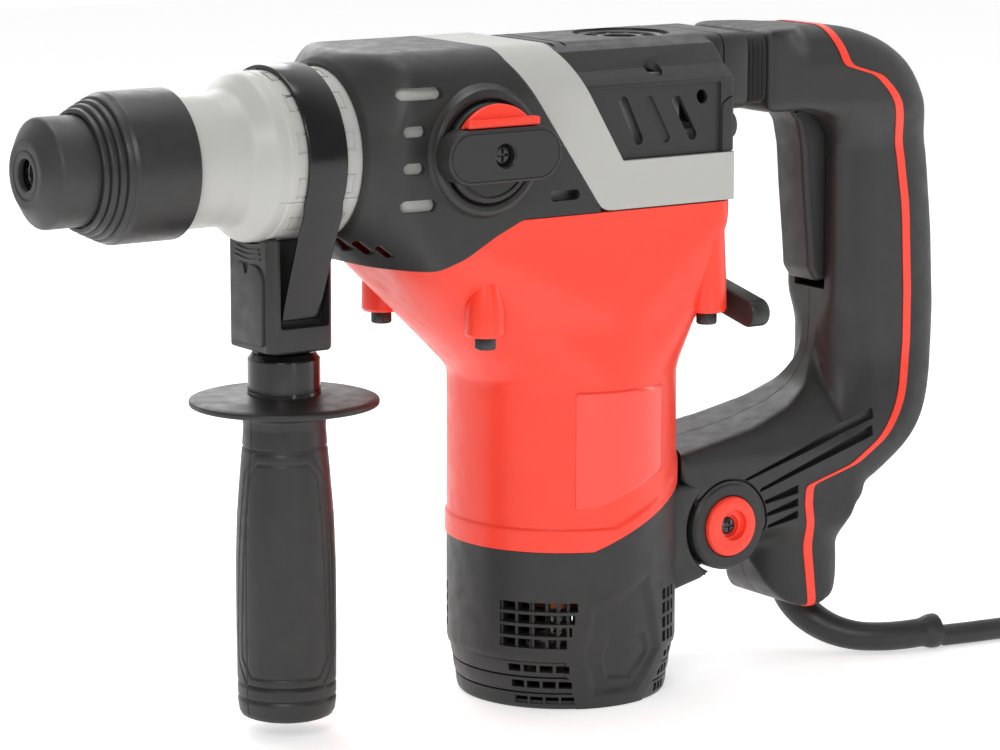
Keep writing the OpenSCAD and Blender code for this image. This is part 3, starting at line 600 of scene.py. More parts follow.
def cord_tie():
    """A rubber band round the turns, on the far side of the coil."""
    r0, r1 = COIL_MID - 3.2 * CORD_R, COIL_MID + 3.2 * CORD_R
    z0, z1 = BASE_Z + 0.2, BASE_Z + 6 * CORD_R + 0.8
    outer = fillet(rectangle(r0, z0, r1, z1), 3)
    band = prism(outer, -4.5, 4.5, edge=0.4)
    cut(band, prism(offset(outer, 1.0), -9, 9))
    turn = Matrix.Translation(Vector((COIL_X, COIL_Y, 0)) * MM) @ Matrix.Rotation(math.radians(60), 4, "Z")
    moved(band, turn)
    finish(band, "cord_tie", "housing", "cord_rubber")


# ---------- Nose ----------
def dust_cap():
    r = high("dust_cap")[1]
    profile = fillet([(-4, 5.4, 0.6), (-4, 7.6, 0.1), (-3.6, 7.9, 0.1), (-3.6, 8.5, 0.1), (-4, 8.8, 0.1),
                      (-4, 11.6, 3), (0.9, r, 2.2), (15.5, r - 0.1, 0.3), (15.5, 14.4, 0), (13, 9.5, 0),
                      (0.1, 9.5, 0), (0.1, 9, 0), (-1, 7, 0.5), (-2, 5.4, 0.4)], 0.4)
    finish(lathe(profile), "nose_cap", "spindle", "cap_rubber", "dust_cap")


def locking_sleeve():
    r = high("locking_sleeve")[1]
    rings = [(14.4, 19.2, 0)]
    for x, ring_r in [(14.4, 20.7), (16.9, 22.0), (19.4, 23.2)]:
        rings += [(x, ring_r, 0.9), (x + 2.0, ring_r + 0.15, 0.8), (x + 2.2, ring_r - 0.5, 0.2)]
    rings += [(21.9, 24.2, 0.8), (23.6, 24.9, 0.6), (23.9, 24.7, 0.3), (25.4, r, 1.2), (48.4, r, 0.5),
              (48.4, 23.2, 0.2), (31.5, 23.2, 0), (31.5, 10.2, 0), (29.5, 10.2, 0), (29.5, 17, 0),
              (23.6, 17, 0), (23.6, 12.1, 0), (15.9, 12.1, 0), (15.9, 19.2, 0)]
    finish(lathe(fillet(rings, 0.3)), "chuck_sleeve", "sleeve", "dark_steel", "locking_sleeve",
           material="sleeve_black")


def patch(x0, x1, a0, a1, r0, r1):
    """A curved strip that lies on a cylinder about the spindle, from angle a0 to a1 in degrees."""
    turn = np.linspace(a0, a1, max(1, int(abs(a1 - a0) / 3)) + 1)
    return prism(arc((0, 0), r1, turn) + arc((0, 0), r0, turn[::-1]), x0, x1, "x")


def front_collar():
    """The pale collar, with its outlined pads before and behind the strap."""
    r = high("front_collar")[1]
    profile = fillet([(44, 20.4, 0), (44, 22.6, 0.7), (63.5, 22.6, 3), (70, 23.4, 6), (76.5, 28.9, 4),
                      (80.6, 28.9, 0.5), (81.2, r - 0.05, 0.4), (157.6, r - 0.05, 0), (157.6, 20.6, 0),
                      (152, 20.6, 0), (152, 25.5, 0), (86, 25.5, 0), (68, 19.2, 0), (46, 19.2, 0),
                      (46, 20.4, 0)], 0.4)
    body = lathe(profile)
    line = 0.55
    proud = r + 0.22
    strips = []
    for i in range(12):
        a = 30 * i + 9
        for x0, x1 in [(83.4, 86.2), (101.8, 105.6)]:
            for start in (a, a + 13):
                strips.append(patch(x0, x1, start, start + 1.1, r - 1, proud))
            edge_x = x0 if x0 < STRAP_X else x1 - line
            strips.append(patch(edge_x, edge_x + line, a, a + 14.1, r - 1, proud))
    add(body, together(*strips))
    cut(body, patch(60, 160, 206, 206.4, r - 0.5, r + 2))
    finish(body, "gear_nose", "housing", "pale_paint", "front_collar")


# ---------- Side handle ----------
def clamp_strap():
    """A rolled band: one arc over the collar and two legs drawn together into the block."""
    r = high("front_collar")[1] + 0.95
    x0, x1 = low("clamp_strap")[0], high("clamp_strap")[0]
    line = [(11.0, -55.5), (12.6, -50), (20.5, -31), (26.6, -17.6)]
    start = math.degrees(math.atan2(-14.0, 27.0))
    line += arc((0, 0), r, np.linspace(start, 180 - start, 64))
    line += [(-26.6, -17.6), (-20.5, -31), (-12.6, -50), (-11.0, -55.5)]
    thick = 0.8
    side = []
    for i, p in enumerate(line):
        a = Vector(line[max(i - 1, 0)])
        b = Vector(line[min(i + 1, len(line) - 1)])
        d = (b - a).normalized()
        side.append(Vector((d.y, -d.x)))
    outer = [tuple(Vector(p) + n * thick) for p, n in zip(line, side)]
    inner = [tuple(Vector(p) - n * thick) for p, n in zip(line, side)]
    band = prism(outer + inner[::-1], x0, x1, "x", edge=0.4)
    finish(band, "side_handle_strap", "clamp", "dark_steel", "clamp_strap", material="gloss_black")


def clamp_block():
    """The block under the collar: side windows for the strap legs, a framed front plate and a round neck."""
    x0, z0 = low("clamp_block")[0], -66.7
    x1 = high("clamp_block")[0]
    half = high("clamp_block")[1]
    top = -27
    plan = fillet([(x0, -half + 3), (x0 + 2.5, -half), (x1 - 2.5, -half), (x1, -half + 3), (x1, half - 3),
                   (x1 - 2.5, half), (x0 + 2.5, half), (x0, half - 3)], 1.5)
    body = prism(plan, z0, top, "z", edge=1.2)
    neck = lathe([(z0 - 15.8, 0), (z0 - 15.8, 5.9), (z0 - 2, 5.9), (z0 - 2, 8.5), (z0 - 0.6, 9.4),
                  (z0 + 1, 9.4), (z0 + 1, 0)], "z", STRAP)
    frame_line = fillet([(-10.6, -64.0), (10.6, -64.0), (10.6, -40, 9), (7, -36.5, 4), (-7, -36.5, 4),
                         (-10.6, -40, 9)], 1.2)
    rim = prism(frame_line, x0 - 0.9, x0 + 1, "x", edge=0.4)
    cut(rim, prism([(-2.4, -35.5), (2.4, -35.5), (0.8, -39.8), (-0.8, -39.8)], x0 - 3, x0 + 3, "x"))
    add(body, neck, rim)
    cutters = [rod(60, 130, 29.65, "x")]
    window = fillet([(84, -58), (103.4, -58), (103.4, -20), (84, -20)], 1.4)
    for s in (-1, 1):
        t = sorted((s * 9.4, s * 20))
        cutters.append(prism(window, t[0], t[1]))
    cut(body, *cutters)
    ridges = []
    for k in range(3):
        r = 31.4 + 1.7 * k
        ridge = arc((0, 0), r, range(-104, -75, 2)) + arc((0, 0), r + 0.7, range(-76, -105, -2))
        ridges.append(prism(ridge, x0 - 0.5, x0 + 1.5, "x"))
    add(body, together(*ridges))
    finish(body, "side_handle_clamp", "clamp", "black_plastic", "clamp_block")


def side_grip():
    """The grip: a round body with two framed panels, ring grooves, a guard disc and a glossy collar."""
    z_low = low("side_grip")[2]
    guard = high("side_grip")[1]
    outline = [(z_low, 13.5), (z_low + 0.8, 15.8), (z_low + 2.5, 16.7), (z_low + 6, 17.2), (-165, 17.45),
               (-142, 17.4), (-125, 16.8), (-110, 15.6), (-100, 14.7), (-94, 14.3), (-91, 14.6),
               (-89.2, 17.0)]
    rows = rows_between(z_low, z_low + 3, 0.5) + rows_between(z_low + 3.4, -89.2, 0.55)
    angle, z = grid(rows, 320)
    r = np.interp(z, *zip(*outline))
    half_turn = np.mod(angle - math.radians(236) + np.pi / 2, np.pi) - np.pi / 2
    across = half_turn * 17
    p = np.stack([across, z], -1)
    panel = [(-10.5, -105.5), (10.5, -105.5), (14.5, -111), (17.5, -170), (17.5, -174), (12.5, -181.0),
             (-12.5, -181.0), (-17.5, -174), (-17.5, -170), (-14.5, -111)]
    r += groove(p, panel, 0.55, 0.45)
    r += groove(p, offset(panel, -3.4), 0.55, 0.45)
    for level, depth in [(-101.0, 0.5), (-184.3, 0.55), (-189.3, 0.6)]:
        r += -depth * (1 - smooth_step(np.abs(z - level) / 0.8))
    seam = np.abs(np.mod(angle - math.radians(187) + np.pi / 2, np.pi) - np.pi / 2) * 17
    r += -0.3 * (1 - smooth_step(seam / 0.45))
    body = loft(barrel(angle, r, z, STRAP_X))
    bottom = lathe([(z_low - 0.1, 0), (z_low - 0.1, 9.5), (z_low + 0.8, 10), (z_low + 0.8, 14),
                    (z_low + 3, 14), (z_low + 3, 0)], "z", STRAP)
    disc = lathe(fillet([(-89.4, 0, 0), (-89.4, 17.2, 0.6), (-88.6, 19, 2), (-87.0, guard - 2.2, 1),
                         (-86.6, guard, 0.8), (-84.8, guard, 0.8), (-84.2, guard - 2.0, 1), (-83.4, 16, 2),
                         (-82.8, 12.9, 1), (-82.8, 0, 0)], 0.5), "z", STRAP)
    grip = together(body, bottom, disc)
    finish(grip, "side_handle_grip", "grip", "black_plastic", "side_grip")
    sleeve = lathe(fillet([(-83.2, 6.4), (-83.2, 12.9), (-81.6, 12.7, 1), (-70.4, 12.6, 0.8),
                           (-69.2, 11.6, 0.5), (-68.2, 11.0), (-68.2, 6.4)], 0.3), "z", STRAP)
    finish(sleeve, "side_handle_collar", "grip", "black_plastic", material="gloss_black")


# ---------- Motor housing and end cap ----------
CAP_TURN = math.radians(268)     # the angle that faces the selector side of the barrel


def hull_ring(discs):
    """Points on the hull of some discs, one for each direction."""
    turn = np.arange(720) * 2 * np.pi / 720
    normal = np.stack([np.cos(turn), np.sin(turn)], -1)
    reach = np.array([normal @ np.array(d[:2]) + d[2] for d in discs])
    best = np.array(discs)[reach.argmax(0)]
    return best[:, :2] + best[:, 2:] * normal


def polar(ring, angle, centre=(0, 0)):
    """The distance from centre to a closed ring of points in each direction of angle."""
    ring = np.array(ring, float)
    following = np.roll(ring, -1, axis=0)
    dense = np.concatenate([ring + (following - ring) * k / 24 for k in range(24)]) - np.array(centre)
    at = np.mod(np.arctan2(dense[:, 1], dense[:, 0]), 2 * np.pi)
    order = np.argsort(at)
    return np.interp(angle, at[order], np.hypot(*dense.T)[order], period=2 * np.pi)


LEVELS = [
    (DECK_Z, [(143, 16, 24), (143, -16, 24), (252, 34, 6), (252, -34, 6)]),
    (-31.0, [(143, 16, 24), (143, -16, 24), (252, 34, 6), (252, -34, 6)]),
    (-64.0, [(186, 0, 38), (212, 0, 41), (235, 25, 14), (235, -25, 14)]),
    (-84.0, [(MOTOR_X, 0, MOTOR_R)]),
]


PLATE = fillet([(-18.6, -87.3), (19.2, -87.5), (19.2, -118.5), (-11.4, -129.4), (-18.6, -129.6)], 1.0)


def barrel_place(angle, z):
    """Places on the unrolled barrel: distance round it from the selector side, and height."""
    return np.stack([(np.mod(angle - CAP_TURN + np.pi, 2 * np.pi) - np.pi) * MOTOR_R, z], -1)


def housing_radius(angle, z):
    """The outer form of the red shell: hulls of discs blended from level to level, its panel and its hem."""
    r = np.zeros_like(angle)
    for i, level in enumerate(z[:, 0]):
        a, b = LEVELS[-1], LEVELS[-1]
        for upper, lower in zip(LEVELS, LEVELS[1:]):
            if lower[0] <= level <= upper[0]:
                a, b = upper, lower
                break
        t = 0.0 if a is b else (a[0] - level) / (a[0] - b[0])
        ring = hull_ring(a[1]) * (1 - t) + hull_ring(b[1]) * t
        r[i] = polar(ring, angle[i], MOTOR)
    kernel = np.hanning(13)[1:-1]
    kernel /= kernel.sum()
    padded = np.pad(r, ((5, 5), (0, 0)), mode="edge")
    r = sum(k * padded[i:i + len(r)] for i, k in enumerate(kernel))
    p = barrel_place(angle, z)
    r += plateau(p, PLATE, 0.55, 0.7)
    step = SEAM_Z + 8.8 + 0.4 * np.maximum(0, p[..., 0] + 4)
    step = np.where(np.abs(p[..., 0]) < 60, step, SEAM_Z + 8.8)
    r += 0.7 * smooth_step((step - z) / 1.2)
    return r


def cap_prism(lift, top=False):
    """The space under the slanted seam, or over it."""
    line = [(150, SEAM_Z + lift), (197, SEAM_Z + lift), (252, SEAM_Z + 22 + lift),
            (300, SEAM_Z + 22 + lift)]
    end = 60 if top else -260
    return through(line + [(300, end), (150, end)])


COVER_EDGE = [(98, -31), (107, -35.8, 20), (118, -39, 30), (130, -39.4, 30), (143, -35.4, 30),
              (155, -28.8, 30), (167, DECK_Z, 12)]


def cover_region():
    return fillet([(90, 60), (157, 60), (163, 31), (200, DECK_Z)] + COVER_EDGE[::-1] + [(90, -31)], 0)


def screw_boss(x, y, reach, top):
    z0 = -64
    return lathe([(z0, 0), (z0, 6.6), (z0 + 1.0, 7.2), (z0 + 10, 7.0), (z0 + reach, top),
                  (z0 + reach + 2, 0)], "z", (x, y), 48)


def allen_screw(x, y, z):
    """A socket head cap screw hanging under a boss, with a knurled rim and a hexagon socket."""
    profile = [(0, 2.9, 0), (0, 3.3, 0), (0.5, 3.7, 1), (4.2, 3.7, 1), (4.6, 3.5, 0), (6, 2.6, 0)]
    rings = []
    for rise, r, knurl in profile:
        wheel = [circle(x, y, r - 0.16 * knurl * (k % 2), 72)[k] for k in range(72)]
        rings.append([(u, v, z + rise) for u, v in wheel])
    return cut(loft(rings), prism(circle(x, y, 1.8, 6), z - 1, z + 2, "z"))


def motor_housing():
    """The red shell with its screw bosses, its blank plate and its screws."""
    rows = rows_between(SEAM_Z - 1, -84, 0.8) + rows_between(-83.2, DECK_Z - 0.3, 1.0)
    angle, z = grid(rows, 448)
    r = housing_radius(angle, z)
    body = loft(barrel(angle, r, z) + barrel(angle, r - 2.8, z)[::-1], True)
    cover = through(cover_region())
    cut(body, cap_prism(0.2), cover)
    sizes = ((SCREW_X[0], 27, 2.5), (SCREW_X[1], 34, 6.0))
    bosses = [screw_boss(x, s * SCREW_Y, reach, top) for x, reach, top in sizes for s in (-1, 1)]
    hole = rod(250, 262, 5.1, "x", LEVER)
    seat = lathe(fillet([(256, 5.1), (256, 12.6), (258.6, 12.2, 0.6), (259.5, 11, 0.4), (259.5, 5.1)], 0.2),
                 "x", LEVER, 64)
    add(body, *bosses)
    cut(body, hole)
    add(body, seat)
    plate_outline = [(MOTOR_X + MOTOR_R * math.cos(CAP_TURN + u / MOTOR_R), z) for u, z in PLATE]
    plate = copy_of(body)
    keep(plate, prism(plate_outline, -60, -20))
    cut(body, prism(plate_outline, -60, -20))
    finish(plate, "blank_plate", "housing", "red_plastic", material="gloss_red")
    finish(body, "motor_shell", "housing", "red_plastic", "motor_housing")
    screws = together(*[allen_screw(x, s * SCREW_Y, -68.6) for x in SCREW_X for s in (-1, 1)])
    finish(screws, "socket_screws", "housing", "dark_steel", "housing_screws")


def radial_block(angle, z, width, height, r0=30.0, r1=46.0):
    """A block across the barrel wall at an angle in degrees; width is along the barrel."""
    a = math.radians(angle)
    out, side = Vector((math.cos(a), math.sin(a), 0)), Vector((-math.sin(a), math.cos(a), 0))
    verts = [Vector((MOTOR_X, 0, z)) + out * r + side * s * width / 2 + Vector((0, 0, h * height / 2))
             for r in (r0, r1) for s in (-1, 1) for h in (-1, 1)]
    faces = [(0, 1, 3, 2), (4, 6, 7, 5), (0, 4, 5, 1), (2, 3, 7, 6), (0, 2, 6, 4), (1, 5, 7, 3)]
    return piece(verts, faces)


def cap_radius(angle, z):
    """The outer form of the end cap: a plain wall, three louvred ribs, and a smooth field round a recess."""
    p = barrel_place(angle, z)
    across = p[..., 0]
    ribs = np.full_like(z, MOTOR_R - 4.4)
    for i in range(3):
        low_z, high_z = BASE_Z + 6 * i + 0.3, BASE_Z + 6 * i + 5.7
        t = (z - low_z) / (high_z - low_z)
        rib = MOTOR_R - 3.9 + i + 0.9 * t + 0.25 * np.sin(np.pi * np.clip(t, 0, 1))
        ribs = np.where((t >= 0) & (t <= 1), rib, ribs)
    plain = MOTOR_R + 0.15 - 0.35 * smooth_step((BASE_Z + 20 - z) / 2)
    r = np.where(z > BASE_Z + 18, plain, ribs)
    smooth = MOTOR_R + 0.15 - 3.9 * np.clip((BASE_Z + 20 - z) / 20, 0, 1) ** 1.4
    recess = [(12.0, -155.1), (19.9, -184.3), (8.4, -199.2), (-12.4, -199.2), (-17.1, -183.9),
              (-13.2, -165.1)]
    away = line_distance(p, recess) * np.where(inside(p, recess), -1, 1)
    mask = smooth_step((7.0 - away) / 1.2)
    mask = np.where((across > -22) | (away < 0), mask, 0)
    r = r * (1 - mask) + smooth * mask
    r += plateau(p, recess, -1.7, 4.2)
    hexagon = [(-5.6, -176.7), (12.1, -177.1), (14.2, -184.5), (5.6, -193.8), (-5.9, -192.7),
               (-8.8, -183.7)]
    r += plateau(p, hexagon, -1.0, 1.8)
    return r


def motor_end_cap():
    """The black end cap with its openings, and the bracket of the handle pivot."""
    rows = []
    for i in range(3):
        rows += rows_between(BASE_Z + 6 * i + (0.3 if i else 0), BASE_Z + 6 * i + 5.7, 0.7)
        rows += [BASE_Z + 6 * i + 5.72]
    rows += [BASE_Z + 17.98] + rows_between(BASE_Z + 18.02, SEAM_Z + 23, 0.7)
    angle, z = grid(rows, 560)
    wall = np.full_like(angle, MOTOR_R - 5.4)
    body = loft(barrel(angle, cap_radius(angle, z), z) + barrel(angle, wall, z)[::-1], True)
    # The openings: columns of angle and width, then the rows between the ribs, then the other side
    columns = [(208.2, 4.8), (216.5, 4.1), (224.6, 4.0), (231.1, 2.5), (236.5, 2.5), (241.6, 3.0)]
    holes, skins = [], []
    for row in range(4):
        z = GRILLE_Z - 4.45 * row
        for i, (a, w) in enumerate(columns):
            if i == 5:
                w, a = w - 1.0 * row, a - 0.75 * row
            if w > 0.6:
                holes.append(radial_block(a, z, w, 3.3))
        count = 11 - (row > 1)
        skins += [radial_block(205.5 + 3.2 * k, z, 2.6, 3.3, MOTOR_R - 0.9, 46) for k in range(count)]
    for row in range(3):
        z = RIB_Z - 6 * row
        for k in range(4):
            holes.append(radial_block(211 + 8.4 * k + 1.4 * row, z, 4.7, 2.6, 30))
    for row in range(4):
        for k in range(3):
            holes.append(radial_block(298.4 + 5.4 * k, GRILLE_Z - 5.2 * row, 2.5, 3.9))
    for row in range(3):
        for k in range(3):
            holes.append(radial_block(301 + 4.6 * k - 1.5 * row, RIB_Z - 6 * row, 2.2, 3.0))
    far = [moved(copy_of(hole), MIRROR_Y, True) for hole in holes]
    cut(body, together(*holes), together(*far), together(*skins))
    cut(body, cap_prism(0, True))
    base = lathe(fillet([(BASE_Z, 0, 0), (BASE_Z, MOTOR_R - 5.2, 0.6), (BASE_Z + 1.5, MOTOR_R - 4.2, 0.5),
                         (BASE_Z + 3, MOTOR_R - 4.2, 0), (BASE_Z + 3, 0, 0)], 0.3), "z", MOTOR)
    seat = pipe(BASE_Z + 2.5, BASE_Z + 17, 9.5, 13, "z", MOTOR, 64)
    cup = [(-1, 0), (-1, 3.4), (2, 3.4), (2, 1.6), (8, 1.6), (8, 0)]
    corners = arc(MOTOR, 30, (-20, 20, 160, 200))
    cups = [lathe([(BASE_Z + rise, r) for rise, r in cup], "z", corner, 32) for corner in corners]
    add(body, base)
    cut(body, *cups)
    add(body, seat)
    finish(body, "motor_cap", "housing", "black_plastic", "motor_end_cap")
    # The bracket behind the cap that carries the handle pivot
    back = arc(PIVOT, 18.2, range(244, 112, -6))
    outline = [(236, -170.5), (257, -165.5)] + back + [(262, -129.8), (246, -129.5, 3), (236, -133)]
    bracket = prism(fillet(outline, 0), -23.9, 23.9, edge=2.2, steps=4)
    tongue_line = arc(PIVOT, 12, range(-75, 76, 6))
    tongue = prism([(240, -162), (262, -162)] + tongue_line + [(262, -136), (240, -136)], -18, 18, edge=1)
    add(bracket, tongue)
    cut(bracket, rod(-40, 40, 5.1, "y", PIVOT, 48), rod(-260, -90, MOTOR_R - 1.5, "z", MOTOR))
    finish(bracket, "pivot_bracket", "housing", "black_plastic")


# ---------- Covers ----------
COVER_DISCS = [(22, 17, 18), (-22, 17, 18), (38, -50, 2), (-38, -50, 2)]
CONE_R, CONE_SLOPE = 31.2, 1.05    # the front of the covers: its radius at the collar and its growth
BAND_FRONT = [(157, 60), (163, 31), (200, DECK_Z)]


def cover_skin(inset, x0, x1):
    """The closed outer form of the covers, with its coned front, as one solid."""
    count = 360
    turn = np.arange(count) * 2 * np.pi / count
    section = polar(hull_ring(COVER_DISCS), turn) - inset
    rows = rows_between(x0, 126, 0.5) + rows_between(127, x1 - 1.2, 1.5)
    rows += [x1 - 0.8, x1 - 0.4, x1 - 0.1, x1]
    ends = [0] * (len(rows) - 4) + [0.1, 0.35, 0.8, 1.3]
    outer = []
    for x, end in zip(rows, ends):
        cone = CONE_R + (x - x0) * CONE_SLOPE - inset
        lip = 0.8 * (1 - smooth_step((x - x0) / 1.2))
        soft = 1.6
        r = -soft * np.log(np.exp(-section / soft) + np.exp(-cone / soft)) - lip - end
        outer.append([(x, ra * math.cos(a), ra * math.sin(a)) for ra, a in zip(r, turn)])
    return loft(outer, smooth=35)


def side_slot(x, z, length, height, tilt=0.0, y0=-60, y1=-30):
    return prism(stadium(x, z, length, height, tilt), y0, y1)


def gear_cover():
    """The black cover with the bezel of the mode knob and its slots."""
    body = cover_skin(0, FRONT_X, 216)
    inner = cover_skin(2.5, FRONT_X - 1, 218)
    cut(body, inner)
    region = [(90, 60)] + [(x - 0.3, z) for x, z in BAND_FRONT] + COVER_EDGE[::-1] + [(90, -31)]
    keep(body, through(fillet(region, 0.6)))
    bezel = lathe(fillet([(-37, 17.6, 0), (-41.6, 17.6, 0), (-42.9, 18.6, 0.6), (-43.2, 20.2, 0.8),
                          (-42.6, 21.6, 0.8), (-41.2, 22.2, 0.8), (-39.4, 23.4, 1.6), (-38, 23.6, 0)], 0.3),
                  "y", DIAL)
    floor = pipe(-40.1, -37.6, 4.1, 18, "y", DIAL)
    cut(body, rod(-60, -30, 17.8, "y", DIAL))
    add(body, bezel)
    add(body, floor)
    slots = [(125.8, 22.1, 16.5, 4.2), (122.7, 9.5, 9, 4.0), (122.3, -3.0, 8.6, 4.0),
             (124.2, -15.8, 13.5, 4.2)]
    tools = [side_slot(*s) for s in slots + [(184, -16.5, 12.5, 3.6)]]
    tools += [side_slot(128, z, 13, 3.6, y0=30, y1=60) for z in (22, 10, -2, -14)]
    leaves = []
    for x, z, length, width in [(102.5, -28.8, 8.0, 3.4), (109.5, -30.4, 8.0, 2.0),
                                (114.0, -31.6, 7.0, 1.8), (118.4, -32.6, 6.0, 1.6)]:
        leaf = stadium(x, z, length, width, -42)
        leaves += [prism(leaf, -60, -10), prism(leaf, 10, 60)]
    leaf_floor = cover_skin(2.2, FRONT_X, 216)
    tools += [cut(leaf, copy_of(leaf_floor)) for leaf in leaves]
    bpy.data.objects.remove(leaf_floor)
    cut(body, *tools)
    finish(body, "gear_case", "housing", "black_plastic", "gear_cover")


def trim_band():
    """The pale band, with the liner that shows through the side slots."""
    body = cover_skin(0, FRONT_X, 258)
    cut(body, cover_skin(2.5, FRONT_X - 1, 255.5))
    region = [(157.3, 60), (163.3, 31), (200.3, DECK_Z + 0.2, 7), (258.5, DECK_Z + 0.2), (258.5, -6.3),
              (208.9, -6.3, 0.8), (192.1, 22), (185.7, 33), (183.7, 60)]
    keep(body, through(fillet(region, 0)))
    liner = cover_skin(3.0, FRONT_X, 216)
    cut(liner, cover_skin(4.0, FRONT_X - 1, 218))
    keep(liner, together(block((112, -60, -20), (135, -20, 26)), block((112, 20, -20), (135, 60, 26))))
    body = together(body, liner)
    finish(body, "trim_frame", "housing", "pale_paint", "trim_band")


def rear_skin(inset, x0, x1, edge):
    half = [(39, -6), (39, 20.4, 0.8), (36.2, 22.6, 1.0), (32.8, 25.0, 1.2), (26.5, 31.6, 1.6),
            (18, 34.2, 8)]
    outline = [(-y, z, *r) for y, z, *r in half] + [(y, z, *r) for y, z, *r in half[::-1]]
    outline = offset(fillet(outline, 0), inset) if inset else fillet(outline, 0)
    return prism(outline, x0, x1, "x", edge=edge)


def rear_cover():
    """The cover behind the trim, with its vent, slots and screws, and the collar that carries the bellows."""
    body = rear_skin(0, 184, 258, 1.0)
    cut(body, rear_skin(2.6, 180, 255.4, 0), block((170, -36.3, -12), (255.3, 36.3, -3.2)))
    region = [(184.2, 60), (186.3, 33), (192.8, 22), (209.5, -6), (259, -6), (259, 60)]
    keep(body, through(region))
    # The plate and the square collar that carry the bellows
    rear = prism(fillet([(-31, -5.6), (31, -5.6), (31, 18), (26, 28.5), (-26, 28.5), (-31, 18)], 3), 256,
                 261, "x", edge=0.8)
    collar = prism(fillet(rectangle(-23.9, 6, 23.9, 34), 6), 257, 276, "x", edge=1.2)
    seam_cut = prism(fillet(rectangle(-30, 0, 30, 40), 6), 264.2, 264.8, "x")
    cut(seam_cut, prism(offset(fillet(rectangle(-23.9, 6, 23.9, 34), 6), 0.9), 260, 270, "x"))
    add(body, rear, collar)
    tools = [seam_cut]
    pillars = []
    # Round vent in the top
    tools.append(lathe([(31.6, 0), (31.6, 16.6), (33.2, 17.4), (60, 17.4), (60, 0)], "z", VENT))
    tools.append(rod(20, 34, 15.4, "z", VENT))
    # Transverse grooves beside the trim
    for x in (191.5, 196.5):
        tools.append(prism(rectangle(x, 33.1, x + 1.2, 40), -29, 29))
    # Sunk side panel behind the trim, under the overhanging ledge
    sunk = fillet([(180, 19.6), (252, 19.0, 1), (252, -9, 0), (180, -9)], 0)
    tools += [prism(sunk, -41, -38.1), prism(sunk, 38.1, 41)]
    for s in (-1, 1):
        wall = (-60, -30) if s < 0 else (30, 60)
        skin = (-60, -37.3) if s < 0 else (37.3, 60)
        tools.append(side_slot(213.4, 7.4, 19.0, 3.8, -64, *wall))
        tools.append(side_slot(224.8, 7.2, 19.0, 3.4, -61, *skin))
        tools.append(side_slot(236.6, 7.0, 18.0, 3.8, -61, *wall))
        tools.append(side_slot(244.2, 14.0, 5.2, 4.4, -61, *wall))
        # The seam that rounds the rear corner
        seam = fillet([(252.2, -6.5), (252.2, 11.5, 4), (256, 13.6), (259, 13.6)], 0)
        seam += [(x + 0.5, z - 0.45) for x, z in reversed(seam)]
        tools.append(prism(seam, *((-60, -38.2) if s < 0 else (38.2, 60))))
        pillars.append(block((222, min(s * 29, s * 38), 11.6), (230, max(s * 29, s * 38), 13.5)))
        tools.append(rod(13.5, 50, 3.4, "z", (226, s * COVER_SCREW_Y), 32))
    add(body, *pillars)
    cut(body, *tools)
    cut(body, rod(266, 280, 8.7, "x", SPRING, 48))
    finish(body, "rear_case", "housing", "black_plastic", "rear_cover")
    ring = lathe(fillet([(30.5, 13.4), (30.5, 16.2), (33.0, 16.2), (33.4, 15.4), (33.4, 14.2), (33, 13.4)],
                        0.3), "z", VENT)
    core = lathe(fillet([(30.5, 6.2), (30.5, 8.6), (32.8, 8.6), (33.1, 8), (33.1, 6.8), (32.8, 6.2)], 0.3),
                 "z", VENT)
    spokes = []
    for k in range(12):
        a = math.radians(15 + 30 * k)
        out, side = Vector((math.cos(a), math.sin(a))), Vector((-math.sin(a), math.cos(a)))
        centre = Vector(VENT)
        outline = [centre + out * reach + side * half for reach, half in ((8, -0.8), (14, -0.8), (14, 0.8),
                                                                          (8, 0.8))]
        spokes.append(prism([tuple(q) for q in outline], 30.6, 32.8, "z", edge=0.2))
    grille = together(ring, core, *spokes)
    finish(grille, "vent_grille", "housing", "black_plastic")
    studs = []
    for s in (-1, 1):
        studs.append(lathe(fillet([(255.6, 0, 0), (255.6, 6.4, 0.5), (262, 6.6, 0.6), (262.5, 5.8, 0.2),
                                   (263.5, 5.8, 0.2), (264, 6.4, 0.5), (266.4, 6.4, 0.6), (267.2, 5.4, 0.5),
                                   (268.6, 5.2, 0.8), (268.6, 0, 0)], 0.2), "x", (s * 22, 1), 64))
    finish(together(*studs), "rear_buffers", "housing", "cap_rubber")
    heads = [lathe(fillet([(13.4, 0), (13.4, 2.9), (15.2, 2.7, 0.4), (15.8, 1.6, 0.4), (14.6, 1.2),
                           (14.6, 0)], 0.1), "z", (226, s * COVER_SCREW_Y), 32) for s in (-1, 1)]
    finish(together(*heads), "cover_screws", "housing", "dark_steel", "rear_cover_screws")


# ---------- Controls ----------
def cross(x, z, y0, y1, long, short):
    """The two arms of a cross slot."""
    return [block((x - w, y0, z - h), (x + w, y1, z + h)) for w, h in ((long, short), (short, long))]


